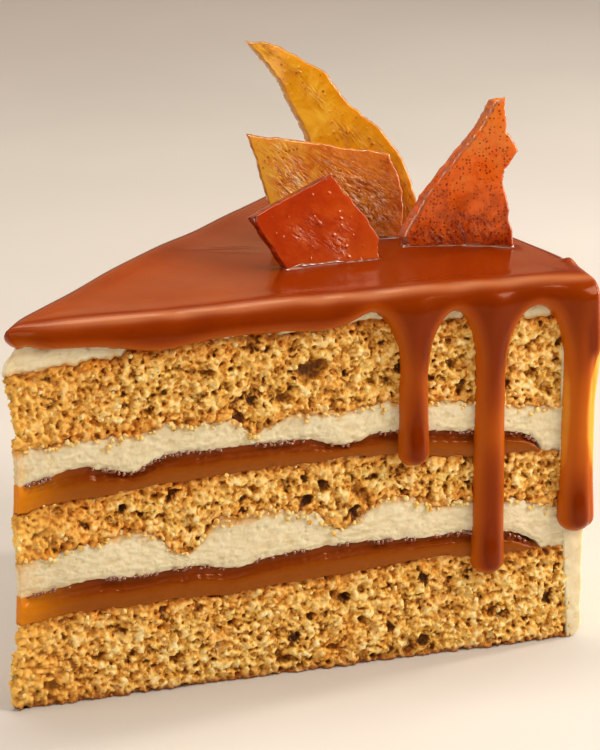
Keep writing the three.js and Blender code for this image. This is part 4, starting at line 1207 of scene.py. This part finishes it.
def glaze_shell(tables):
    """The glaze's surface as quads on a grid of voxels, each point then moved onto the true surface."""
    half = CAKE_RADIUS * math.sin(HALF_ANGLE) + FIELD_MARGIN
    xs = np.arange(TIP_X - FIELD_MARGIN, TIP_X + CAKE_RADIUS + FIELD_MARGIN + VOXEL, VOXEL)
    ys = np.arange(-half, half + VOXEL, VOXEL)
    zs = np.arange(FIELD_LOW + VOXEL / 4, GLAZE_TOP + 2, VOXEL)
    band = 3 * VOXEL

    def field(x, y, z):
        return glaze_field(*glaze_cover(tables, x, y, z), x, y, z)

    x, y = np.meshgrid(xs, ys, indexing="ij")
    values = np.zeros((len(xs), len(ys), len(zs)), np.float32)
    for n, z in enumerate(zs):
        values[:, :, n] = np.clip(field(x, y, np.full(x.shape, z)), -band, band)
    grid = openvdb.FloatGrid(band)
    grid.copyFromArray(values)
    points, quads = grid.convertToQuads()
    points = np.asarray(points, float) * VOXEL + np.array([xs[0], ys[0], zs[0]])
    for _ in range(3):
        slope = np.stack([
            (field(*(points + NUDGE * axis).T) - field(*(points - NUDGE * axis).T)) / (2 * NUDGE)
            for axis in np.eye(3)], -1)
        size = np.maximum((slope ** 2).sum(1), 0.25)
        move = -(field(*points.T) / size)[:, None] * slope
        length = np.linalg.norm(move, axis=1)
        points = points + move * np.minimum(1, LONGEST_MOVE / np.maximum(length, 1e-9))[:, None]
    return points, np.asarray(quads)


def glaze_body():
    """The poured glaze, with how thick it looks, partly painted reflection and shining light, and a painted
    highlight on its upper edge.
    """
    tables = skirt_table()
    points, quads = glaze_shell(tables)
    x, y, height = points.T
    distance, cover, _, _ = glaze_cover(tables, x, y, height)
    _, place = beside_outline(x, y)
    from_tip = np.hypot(x - TIP_X, y)
    on_top = smooth_step(-0.5, -4, distance)
    beside = 1 - on_top
    # Thinner and paler towards the skirt's edges: partly real, partly a painted reflection on the drips'
    # sides.
    thickness = (0.3 + 0.62 * smooth_step(0, 2.8, cover)) * beside + 0.8 * on_top
    # Painted light shining through the drip at the rim's near corner.
    corner = smooth_step(0.0, 2.0, past_near_corner(x, y)) * bell(np.maximum(place - CAKE_RADIUS, 0), 2.0)
    thickness -= 1.2 * corner * beside * bell(height - 63, 14)
    # Painted light shining through the visible drips.
    for spot, wide, level, high, amount in GLOW_SPOTS:
        thickness -= amount * bell(place - spot, wide) * bell(height - level, high) * beside
    for centre, half, lowest, _ in DRIPS:
        # Darker cores near the drips' ends: partly thicker glaze, partly painted reflection.
        near_end = bell(height - lowest - 2.1 * half, 1.5 * half)
        thickness += 0.3 * bell(place - centre + 0.3, 0.55 * half) * near_end
        # Painted reflection: a dark sliver on the right side of each drip's root.
        thickness += 0.35 * bell(place - centre - 1.7, 1.1) * bell(height - 62, 4.5) * beside
    # A little paler near the tip: painted light shining through it.
    thickness -= 0.1 * bell(from_tip, 12)
    # Painted reflection: the top paler near the tip and darker towards the rim.
    thickness += 0.25 * on_top * smooth_step(40, 70, from_tip)
    # Painted highlight along the upper edge, where the glaze is also thinner.
    crest = bell(distance - 0.1, 0.9) * smooth_step(73, 74.3, height) * smooth_step(4, 16, from_tip)
    points = np.stack([x - tip_push(from_tip, height), y, height], -1)
    return points, quads, {"thickness": thickness, "crest": crest}


# ---------------------------------------------------------------- shards
SHARD_STEP = 0.2
SHARD_LAYERS = 6
MARK_EASE = 4  # rows over which the wrinkles grow from an edge


def edge_chips(level, spacing, seed):
    return 0.22 * value_noise(level, spacing, seed) + 0.12 * value_noise(level, 0.6, seed + 1)


def crackled_share(patches, across, rise, seed):
    """How crackled each point of a shard is, from its named patches."""
    crackle = 0 * across
    for middle, level, wide, high, strength in patches:
        away = np.hypot((across - middle) / wide, (rise - level) / high)
        crackle = np.maximum(crackle, strength * bell(away, 1))
    return crackle * np.clip(0.85 + 0.5 * patch_noise(30 * across, 40 * rise, 2.2, seed), 0, 1.2)


def shard_body(name):
    """A broken sheet of boiled sugar as a plate of fine rows with rounded, chipped edges."""
    shard = SHARDS[name]
    rows = shard["rows"]
    seed = 900 + 10 * list(SHARDS).index(name)
    levels = np.concatenate([[0], np.cumsum([
        0.5 * (math.dist(rows[n][0], rows[n + 1][0]) + math.dist(rows[n][1], rows[n + 1][1]))
        for n in range(len(rows) - 1)])])
    span = levels[-1] + SHARD_SUNK
    widest = max(right[0] - left[0] for left, right in rows)
    steps = (round(widest / SHARD_STEP), SHARD_LAYERS, round(span / SHARD_STEP))
    (i, j, k), quads = box_of_steps(*steps)
    across, rise = i / steps[0], k / steps[2]
    level = span * k / steps[2] - SHARD_SUNK
    left, right = (
        [np.interp(np.maximum(level, 0), levels, [row[end][axis] for row in rows]) for axis in (0, 1)]
        for end in (0, 1))
    side = 2 * j / steps[1] - 1
    slanted = smooth_step(shard["slant_from"], shard["slant_from"] + 2, level)
    slant = shard["slant"] * 0.5 * (1 - side) * slanted
    bevel = 0.42 * (1 - np.sqrt(1 - 0.97 * side ** 2))
    chips, chips_right = edge_chips(level, 1.7, seed), edge_chips(level, 1.6, seed + 2)
    width = right[0] - left[0]
    x = left[0] + chips + bevel + slant + (width - slant - chips + chips_right - 2 * bevel) * across
    up = left[1] + (right[1] - left[1]) * across + np.minimum(level, 0)
    up = up + smooth_step(0.75, 1, rise) * (0.2 * value_noise(x, 1.8, seed + 4) - bevel * (k == steps[2]))
    back = shard["curl"] * np.maximum(0, up / rows[-1][0][1]) ** 2
    back = back + 0.22 * patch_noise(x, up, 6, seed + 5) * smooth_step(-1, 2, up)
    points = np.stack([x, back + 0.5 * side * SHARD_THICKNESS, up], -1)

    crackle = crackled_share(shard["crackled"], across, rise, seed + 6)
    cut = ((j == 0) | (j == steps[1])) * np.minimum(1, np.minimum(i, steps[0] - i) / MARK_EASE)
    cut = cut * np.minimum(1, (steps[2] - k) / MARK_EASE)
    edge = np.maximum.reduce([i == 0, i == steps[0], k == steps[2]]).astype(float)
    way = np.outer(np.where(j == 0, -1.0, 1.0), (0.0, 1.0, 0.0))
    turn, lean = math.radians(shard["turn"]), math.radians(shard["lean"])
    turned = np.array(Matrix.Rotation(turn, 3, "Z") @ Matrix.Rotation(-lean, 3, "X"))
    foot = np.array([TIP_X + shard["foot"][0], shard["foot"][1], GLAZE_TOP])
    return points @ turned.T + foot, quads, {
        "cut": cut * (0.12 + crackle), "way_out": way @ turned.T, "across": across, "rise": rise,
        "crackle": crackle, "edge": edge}


# ---------------------------------------------------------------- glaze at the shards
FILLET_STEP = 0.25
FILLET_CORNER = 0.6
FILLET_PROFILE = 9
CORNER_STEPS = 6
FILLET_DEPTH = 0.7  # the ring and its inner side reach this far into the glaze
FAR_INSIDE = -20.0  # a distance from the outline at which the upper edge no longer counts


def fillet_body(name):
    """The glaze drawn up round a shard's foot: a ring with a hollow outer side."""
    shard = SHARDS[name]
    (left, _), (right, _) = shard["rows"][0]
    long_half = 0.5 * (right - left) - FILLET_CORNER
    short_half = 0.5 * SHARD_THICKNESS - FILLET_CORNER
    ends = np.array([(long_half, -short_half), (long_half, short_half), (-long_half, short_half),
                     (-long_half, -short_half)])
    spots, turns = [], []
    for side in range(4):
        start, end = ends[side], ends[(side + 1) % 4]
        count = max(2, round(math.dist(start, end) / FILLET_STEP))
        spots += [start + (end - start) * n / count for n in range(count)] + [end] * CORNER_STEPS
        turns += [90 * side] * count + [90 * (side + n / CORNER_STEPS) for n in range(CORNER_STEPS)]
    spots, turns = np.array(spots), np.radians(turns)
    way = np.stack([np.cos(turns), np.sin(turns)], -1)
    walk = np.arange(len(spots)) * FILLET_STEP
    seed = 950 + list(SHARDS).index(name)
    high = 0.42 + 0.3 * value_noise(walk, 3.1, seed) + 0.1 * value_noise(walk, 0.9, seed + 20)
    wide = 0.6 + 0.25 * value_noise(walk, 3.7, seed + 40)
    low = 0 * wide - FILLET_DEPTH
    core = spots * (1, 0.1)
    rows = [(core, low), (core, 0 * wide + 0.2)]
    for angle in np.linspace(0, math.pi / 2, FILLET_PROFILE):
        out = FILLET_CORNER + wide * (1 - math.cos(angle))
        rows.append((spots + way * out[:, None], high * (1 - math.sin(angle))))
    rows.append((spots + way * (FILLET_CORNER + wide)[:, None], low))
    turn, lean = math.radians(shard["turn"]), math.radians(shard["lean"])
    points = []
    for flat, up in rows:
        along, across = flat[:, 0] + 0.5 * (left + right), flat[:, 1] + up * math.tan(lean)
        x = TIP_X + shard["foot"][0] + along * math.cos(turn) - across * math.sin(turn)
        y = shard["foot"][1] + along * math.sin(turn) + across * math.cos(turn)
        level = glaze_top_height(x, y, np.full(x.shape, FAR_INSIDE))
        points.append(np.stack([x, y, level - 0.08 + up], -1))
    number = np.arange(len(rows) * len(spots)).reshape(len(rows), len(spots))
    ahead, above = np.roll(number, -1, axis=1), np.roll(number, -1, axis=0)
    quads = np.stack([number, above, np.roll(above, -1, axis=1), ahead], -1).reshape(-1, 4)
    return np.concatenate(points), quads, {}


# ---------------------------------------------------------------- sizes and colours of the panel
def length_property(label, note, size):
    return bpy.props.FloatProperty(
        name=label, description=note, default=size * MM, precision=5, unit="LENGTH")


def colour_property(label, note, code):
    return bpy.props.FloatVectorProperty(
        name=label, description=note, size=4, subtype="COLOR", min=0, max=1, default=linear(code))


class CakeSizes(bpy.types.PropertyGroup):
    lump_size: length_property("Crumb lump", "Width of the lumps of the torn sponge", 1.25)
    pore_size: length_property("Crumb pore", "Distance between the larger pores of the sponge", 3.0)
    crumb_depth: length_property("Crumb depth", "How deep the cut face of the sponge is torn", 0.85)
    smear_size: length_property("Cream smear", "Length of the smears in the spread cream", 2.0)
    smear_depth: length_property("Cream depth", "How deep the smears in the cream are", 0.36)
    caramel_ripple: length_property("Caramel ripple", "How deep the cut caramel ripples", 0.08)
    wrinkle_depth: length_property("Sugar wrinkles", "How deep the wrinkles of the crackled shard are", 0.5)
    smallest_crumb: length_property("Smallest crumb", "Width of the smallest loose crumb", 0.45)
    largest_crumb: length_property("Largest crumb", "Width of the largest loose crumb", 1.25)
    loose_crumbs: bpy.props.IntProperty(
        name="Loose crumbs", description="How many loose crumbs cling to the cut faces", default=360, min=0)
    caramel_beads: bpy.props.IntProperty(
        name="Caramel beads", description="How many beads of caramel sit along its cut edges", default=800,
        min=0)
    camera_distance: length_property("Camera distance", "From the camera to the middle of the slice", 600)


class CakeColours(bpy.types.PropertyGroup):
    # The crumb colours run from the walls that stand out to the deepest pores: golden, pore and deep pore are
    # painted shade.
    crumb_light: colour_property("Crumb, light", "Walls of the sponge that stand out", "#ffeab0")
    crumb: colour_property("Crumb", "Most of the sponge", "#f4cc72")
    crumb_gold_shade: colour_property("Crumb, golden", "Moist sponge between the walls", "#da9c36")
    crumb_pore_shade: colour_property("Pore", "Inside the sponge's pores", "#8c5410")
    crumb_deep_pore_shade: colour_property("Deep pore", "The deepest pores", "#4c2804")
    # Painted light shining through the thin tip of the sponge.
    crumb_tip_glow: colour_property("Crumb at the tip", "Thin sponge that light shines through", "#f6c25c")
    crumb_soaked: colour_property("Soaked crumb", "Sponge that caramel has soaked", "#f8c24c")
    crust: colour_property("Crust", "The baked skin of the sponge", "#9c5214")
    cream_light: colour_property("Cream, light", "Ridges of the cream", "#f2e6c6")
    cream: colour_property("Cream", "Most of the cream", "#e8dab4")
    cream_shade: colour_property("Cream, shaded", "Hollows of the cream", "#d6c090")
    cream_stain: colour_property("Stained cream", "Cream beside crumb and caramel", "#dd9e44")
    # The dark caramel colour paints shade in the groove along the upper edge, and is also the beads' dark
    # tone.
    caramel_light: colour_property("Caramel, light", "Lower part of the caramel fillings", "#98500c")
    caramel: colour_property("Caramel", "Middle of the caramel fillings", "#8a4206")
    caramel_dark_and_groove_shade: colour_property("Caramel, dark", "Groove along the caramel's upper edge", "#7a3002")
    caramel_tip_glow: colour_property("Caramel at the tip", "Thin caramel that light shines through", "#dc8412")
    # Painted light shining through the thin tip of the caramel.
    bead: colour_property("Caramel bead", "Wet beads along the caramel's upper edge", "#8a3c06")
    # The thinnest glaze colour is also painted light shining through drips; the edge colour also paints
    # reflection on the drips' sides.
    glaze_thin_and_glow: colour_property("Glaze, thin", "Thinnest edge of the glaze", "#f3ae3c")
    glaze_edge: colour_property("Glaze edge", "Near the glaze's edges", "#c2600e")
    glaze: colour_property("Glaze", "Most of the glaze", "#9c4004")
    glaze_thick: colour_property("Glaze, thick", "Thickest glaze", "#782600")
    # A painted highlight over the thinner glaze on the crest.
    glaze_crest_highlight: colour_property("Glaze on the crest", "Milky glaze stretched over the upper edge", "#d08a58")
    shard_yellow: colour_property("Yellow shard", "The tall shard", "#e09a0c")
    shard_amber: colour_property("Amber shard", "The crackled shard", "#e28426")
    shard_red: colour_property("Red shard", "The front shard", "#b23604")
    shard_orange: colour_property("Orange shard", "The right shard", "#f06a12")
    floor: colour_property("Floor", "Backdrop paper", "#c4c1bc")
    floor_light: colour_property("Floor, light", "Lighter cloud of the paper", "#cac7c2")


# ---------------------------------------------------------------- operators
class CAKE_OT_sponges(bpy.types.Operator):
    """Bakes and tears the three sponge layers"""
    bl_idname = "cake.sponges"
    bl_label = "Sponge layers"

    def execute(self, context):
        sizes, colours = context.scene.cake_sizes, context.scene.cake_colours
        material = once(bpy.data.materials, "baked_butter_sponge", lambda: baked_sponge(colours))
        tree = once(bpy.data.node_groups, "torn_crumb", crumb_tree)
        for number, (node, layer) in enumerate(SPONGES.items()):
            points, quads, marks, (radius, _, share) = layer_body(layer, sponge_relief)
            foot, head, _ = layer
            thick = head(radius, 0 * radius) - foot(radius, 0 * radius)
            from_foot, from_head = share * thick, (1 - share) * thick
            below, soaked_below = (1.0, 0) if node == "sponge_bottom" else (0.35, 0.4 * bell(from_foot, 2.2))
            soaked = 0.35 * bell(radius, 16) + (0.55 * bell(from_head, 2.4) + soaked_below)
            # Painted light shining through the thin tip.
            marks["thin"] = bell(radius, 9)
            marks["crust"] = np.clip(below * bell(from_foot, 0.9) + 0.75 * bell(from_head, 0.8), 0, 1)
            marks["soaked"] = np.clip(soaked, 0, 1)
            make_piece(f"{node}_crumb", (points, quads, marks), node, material, tree, {
                "Lump size": sizes.lump_size, "Pore size": sizes.pore_size, "Depth": sizes.crumb_depth,
                "Seed": 3 + number})
        return {"FINISHED"}


class CAKE_OT_creams(bpy.types.Operator):
    """Spreads the two cream fillings and the cream coat"""
    bl_idname = "cake.creams"
    bl_label = "Cream"

    def execute(self, context):
        sizes, colours = context.scene.cake_sizes, context.scene.cake_colours
        material = once(bpy.data.materials, "spread_butter_cream", lambda: whipped_cream_icing(colours))
        tree = once(bpy.data.node_groups, "spread_by_knife", spread_tree)
        knife = {
            "Smear size": sizes.smear_size, "Depth": sizes.smear_depth, "Pit depth": 0.9 * sizes.smear_depth}
        for number, (node, layer) in enumerate(CREAMS.items()):
            points, quads, marks, (radius, height, share) = layer_body(layer, cream_relief)
            stain = 0.75 * bell(1 - share, 0.17) + 0.3 * bell(share, 0.08) + 0.3 * bell(radius, 9)
            blots = np.clip(0.7 + 0.7 * patch_noise(radius, height, 5.0, layer[2] + 7), 0, 1)
            marks["soaked"] = np.clip(stain, 0, 1) * blots
            make_piece(f"{node}_spread", (points, quads, marks), node, material, tree,
                       {**knife, "Seed": 11 + number})
        coat = join_bodies([side_coat_body(), top_coat_body()])
        make_piece("cream_coat_spread", coat, "cream_coat", material, tree, {**knife, "Seed": 17})
        return {"FINISHED"}


class CAKE_OT_caramels(bpy.types.Operator):
    """Sets the two caramel fillings"""
    bl_idname = "cake.caramels"
    bl_label = "Caramel fillings"

    def execute(self, context):
        sizes, colours = context.scene.cake_sizes, context.scene.cake_colours
        material = once(bpy.data.materials, "set_soft_caramel", lambda: soft_caramel(colours))
        tree = once(bpy.data.node_groups, "spread_by_knife", spread_tree)
        ends = [end for _, end in CARAMEL_ENDS.values()]
        for number, (node, layer) in enumerate(CARAMELS.items()):
            points, quads, marks, (radius, _, _) = layer_body(
                layer, caramel_relief, ends[number], CARAMEL_STEP)
            # Painted light shining through the thin tip.
            marks["thin"] = bell(radius, 7.5)
            make_piece(f"{node}_set", (points, quads, marks), node, material, tree, {
                "Smear size": 3 * MM, "Depth": sizes.caramel_ripple, "Pit depth": 0.0, "Seed": 23 + number})
        return {"FINISHED"}


class CAKE_OT_glaze(bpy.types.Operator):
    """Pours the caramel glaze with its drips"""
    bl_idname = "cake.glaze"
    bl_label = "Caramel glaze"

    def execute(self, context):
        colours = context.scene.cake_colours
        material = once(bpy.data.materials, "poured_caramel_glaze", lambda: poured_caramel(colours))
        make_piece("caramel_glaze_poured", glaze_body(), "caramel_glaze", material)
        return {"FINISHED"}


class CAKE_OT_shards(bpy.types.Operator):
    """Breaks and sets the four shards of boiled sugar"""
    bl_idname = "cake.shards"
    bl_label = "Sugar shards"

    def execute(self, context):
        sizes, colours = context.scene.cake_sizes, context.scene.cake_colours
        tree = once(bpy.data.node_groups, "crackled_sugar", crackle_tree)
        for number, (node, look) in enumerate(SUGARS.items()):
            main = getattr(colours, look["slot"])
            material = once(bpy.data.materials, look["name"], lambda: boiled_sugar(look, main))
            make_piece(f"{node}_sugar", shard_body(node), node, material, tree, {
                "Wrinkle size": 1.25 * MM, "Depth": sizes.wrinkle_depth * look["wrinkled"],
                "Bubble size": 1.1 * MM, "Bubble depth": look["bubbly"] * MM, "Seed": 31 + number})
        return {"FINISHED"}


class CAKE_OT_fillets(bpy.types.Operator):
    """Draws the glaze up round the foot of each shard"""
    bl_idname = "cake.fillets"
    bl_label = "Glaze at the shards"

    def execute(self, context):
        colours = context.scene.cake_colours
        material = once(bpy.data.materials, "wet_caramel_beads", lambda: wet_caramel(colours))
        rings = join_bodies([fillet_body(name) for name in SHARDS])
        make_piece("glaze_at_shards", rings, None, material)
        return {"FINISHED"}


CHANCE_SEED = 77
POINTS_TO_A_FULL_SHARE = 90000  # so many open points of a sponge carry the panel's number of crumbs
FROM_TIP = 3.0  # no crumb or bead sits nearer to the tip


def values_of(data, field, width):
    values = np.zeros(len(data) * width)
    data.foreach_get(field, values)
    return values.reshape(-1, width)


class CAKE_OT_crumbs(bpy.types.Operator):
    """Scatters loose crumbs on the cut faces and beads of caramel along its edges"""
    bl_idname = "cake.crumbs"
    bl_label = "Loose crumbs and beads"

    def execute(self, context):
        sizes, colours = context.scene.cake_sizes, context.scene.cake_colours
        tree = once(bpy.data.node_groups, "scattered_bits", scatter_tree)
        chance = np.random.default_rng(CHANCE_SEED)
        crumbs = []
        for node in SPONGES:
            mesh = bpy.data.objects[f"{node}_crumb"].data
            cut, hollow = (
                values_of(mesh.attributes[name].data, "value", 1)[:, 0] for name in ("cut", "hollow"))
            good = np.flatnonzero((cut > 0.5) & (hollow < 0.45))
            count = min(int(sizes.loose_crumbs * len(good) / POINTS_TO_A_FULL_SHARE), len(good))
            chosen = chance.choice(good, count, replace=False)
            crumbs.append(values_of(mesh.vertices, "co", 3)[chosen] / MM)
        for name in ("middle_sponge_foot", "top_sponge_foot"):
            for angle in (-HALF_ANGLE, HALF_ANGLE):
                along = chance.uniform(FROM_TIP, COAT_INNER_RADIUS, sizes.loose_crumbs // 3)
                height = boundary_height(name, along, angle) - np.abs(chance.normal(0, 0.7, len(along)))
                crumbs.append(slice_point(along, angle, height, chance.uniform(0.0, 0.3, len(along))))
        crumbs = np.concatenate(crumbs)
        crumbs = crumbs[crumbs[:, 2] > sizes.largest_crumb / MM]
        material = once(bpy.data.materials, "baked_butter_sponge", lambda: baked_sponge(colours))
        make_piece("loose_crumbs", (crumbs, [], {}), None, material, tree, {
            "Smallest": sizes.smallest_crumb, "Largest": sizes.largest_crumb, "Flatness": 0.75,
            "Roughness": 0.6, "Seed": 5})

        beads = []
        for filling in ("lower", "upper"):
            _, end = CARAMEL_ENDS[f"{filling}_cream_foot"]
            for side in (-1, 1):
                angle = side * HALF_ANGLE
                along = chance.uniform(FROM_TIP, end - 1, sizes.caramel_beads // 4)
                crowd = value_noise(along, 5, 91 + side) + chance.uniform(-0.5, 0.5, len(along))
                along = along[crowd > -0.35]
                height = caramel_top(filling, 0.0)(along, angle) - chance.uniform(0.0, 0.45, len(along))
                beads.append(slice_point(along, angle, height, chance.uniform(0.25, 0.6, len(along))))
        material = once(bpy.data.materials, "wet_caramel_beads", lambda: wet_caramel(colours))
        make_piece("caramel_beads", (np.concatenate(beads), [], {}), None, material, tree, {
            "Smallest": 0.45 * MM, "Largest": 1.15 * MM, "Flatness": 0.6, "Roughness": 0.2, "Seed": 9})
        return {"FINISHED"}


FLOOR_HALF = 2.5
FLOOR_STEPS = 8
FLOOR_LEVEL = -0.0002
ROOM_COLOUR = "#e9e6e2"
ROOM_STRENGTH = 0.15
LIT_MIDDLE = Vector((0.0, -0.01, 0.045))
# Name, azimuth, elevation, distance, width, height, watts, colour.
LIGHTS = [
    ("key_softbox", 306, 34, 0.75, 0.34, 0.4, 4.8, "#fff4e6"),
    ("front_softbox", 215, 38, 0.75, 0.4, 0.4, 1.6, "#fff4e6"),
    ("upper_front_panel", 56, 78, 0.7, 0.35, 0.18, 1.5, "#fff6ea"),
    ("overhead_softbox", 70, 82, 0.62, 0.6, 0.6, 1.8, "#fff0e0"),
    ("back_left_panel", 66, 20, 0.8, 0.75, 0.3, 0.42, "#ffb066"),
    ("right_strip", 345, 18, 0.75, 0.05, 0.5, 4.2, "#fff3e4"),
    ("left_strip", 150, 20, 0.7, 0.15, 0.4, 1.2, "#fff3e4"),
    ("back_right_strip", 5, 22, 0.6, 0.12, 0.4, 0.5, "#fff3e4"),
]
CAMERA_LENS = 152.1
CAMERA_SENSOR = 36
CAMERA_AIM = Vector((-1.03, -15.80, 57.87)) * MM
CAMERA_FORWARD = Vector((0.6151, 0.7214, -0.3181))


def towards(azimuth, elevation):
    a, e = math.radians(azimuth), math.radians(elevation)
    return Vector((math.cos(a) * math.cos(e), math.sin(a) * math.cos(e), math.sin(e)))


class CAKE_OT_stage(bpy.types.Operator):
    """Lays the pale floor and sets the lights and the camera"""
    bl_idname = "cake.stage"
    bl_label = "Floor, lights and camera"

    def execute(self, context):
        scene, colours = context.scene, context.scene.cake_colours
        scene.view_settings.view_transform = "Standard"
        scene.view_settings.look = "None"
        grid = np.linspace(-FLOOR_HALF, FLOOR_HALF, FLOOR_STEPS + 1)
        number = np.arange(len(grid) ** 2).reshape(len(grid), len(grid))
        floor = bpy.data.meshes.new("floor")
        floor.from_pydata([(x, y, FLOOR_LEVEL) for x in grid for y in grid], [], sheet_quads(number))
        floor.materials.append(once(bpy.data.materials, "matte_backdrop_paper", lambda: matte_paper(colours)))
        ground = bpy.data.objects.new(fresh("floor"), floor)
        scene.collection.objects.link(ground)

        scene.world = scene.world or bpy.data.worlds.new("soft_room")
        scene.world.use_nodes = True
        background = scene.world.node_tree.nodes["Background"]
        background.inputs["Color"].default_value = linear(ROOM_COLOUR)
        background.inputs["Strength"].default_value = ROOM_STRENGTH
        for name, azimuth, elevation, distance, width, height, watts, colour in LIGHTS:
            light = bpy.data.lights.new(name, "AREA")
            light.shape = "RECTANGLE"
            light.size, light.size_y = width, height
            light.energy = watts
            light.color = linear(colour)[:3]
            lamp = bpy.data.objects.new(fresh(name), light)
            lamp.location = LIT_MIDDLE + distance * towards(azimuth, elevation)
            lamp.rotation_euler = (LIT_MIDDLE - lamp.location).to_track_quat("-Z", "Y").to_euler()
            scene.collection.objects.link(lamp)

        camera = bpy.data.cameras.new("photo_camera")
        camera.lens = CAMERA_LENS
        camera.sensor_width = CAMERA_SENSOR
        camera.clip_start, camera.clip_end = 0.05, 20
        holder = bpy.data.objects.new(fresh("photo_camera"), camera)
        holder.location = CAMERA_AIM - CAMERA_FORWARD * scene.cake_sizes.camera_distance
        holder.rotation_euler = CAMERA_FORWARD.to_track_quat("-Z", "Y").to_euler()
        scene.collection.objects.link(holder)
        scene.camera = holder
        return {"FINISHED"}


OPERATORS = (
    CAKE_OT_sponges, CAKE_OT_creams, CAKE_OT_caramels, CAKE_OT_glaze, CAKE_OT_shards, CAKE_OT_fillets,
    CAKE_OT_crumbs, CAKE_OT_stage)


class CAKE_PT_panel(bpy.types.Panel):
    """Sizes, colours and steps of the cake"""
    bl_idname = "CAKE_PT_panel"
    bl_label = "Iced caramel cake"
    bl_space_type = "VIEW_3D"
    bl_region_type = "UI"
    bl_category = "Cake"

    def draw(self, context):
        for operator in OPERATORS:
            self.layout.operator(operator.bl_idname)
        for group in (context.scene.cake_sizes, context.scene.cake_colours):
            box = self.layout.box()
            for name in group.__annotations__:
                box.prop(group, name)


CLASSES = (CakeSizes, CakeColours, *OPERATORS, CAKE_PT_panel)


def register():
    for each in CLASSES:
        bpy.utils.register_class(each)
    bpy.types.Scene.cake_sizes = bpy.props.PointerProperty(type=CakeSizes)
    bpy.types.Scene.cake_colours = bpy.props.PointerProperty(type=CakeColours)


def unregister():
    del bpy.types.Scene.cake_sizes, bpy.types.Scene.cake_colours
    for each in reversed(CLASSES):
        bpy.utils.unregister_class(each)


def main():
    register()
    bpy.ops.cake.stage()
    bpy.ops.cake.sponges()
    bpy.ops.cake.creams()
    bpy.ops.cake.caramels()
    bpy.ops.cake.glaze()
    bpy.ops.cake.shards()
    bpy.ops.cake.fillets()
    bpy.ops.cake.crumbs()
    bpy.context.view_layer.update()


if __name__ == "__main__":
    main()
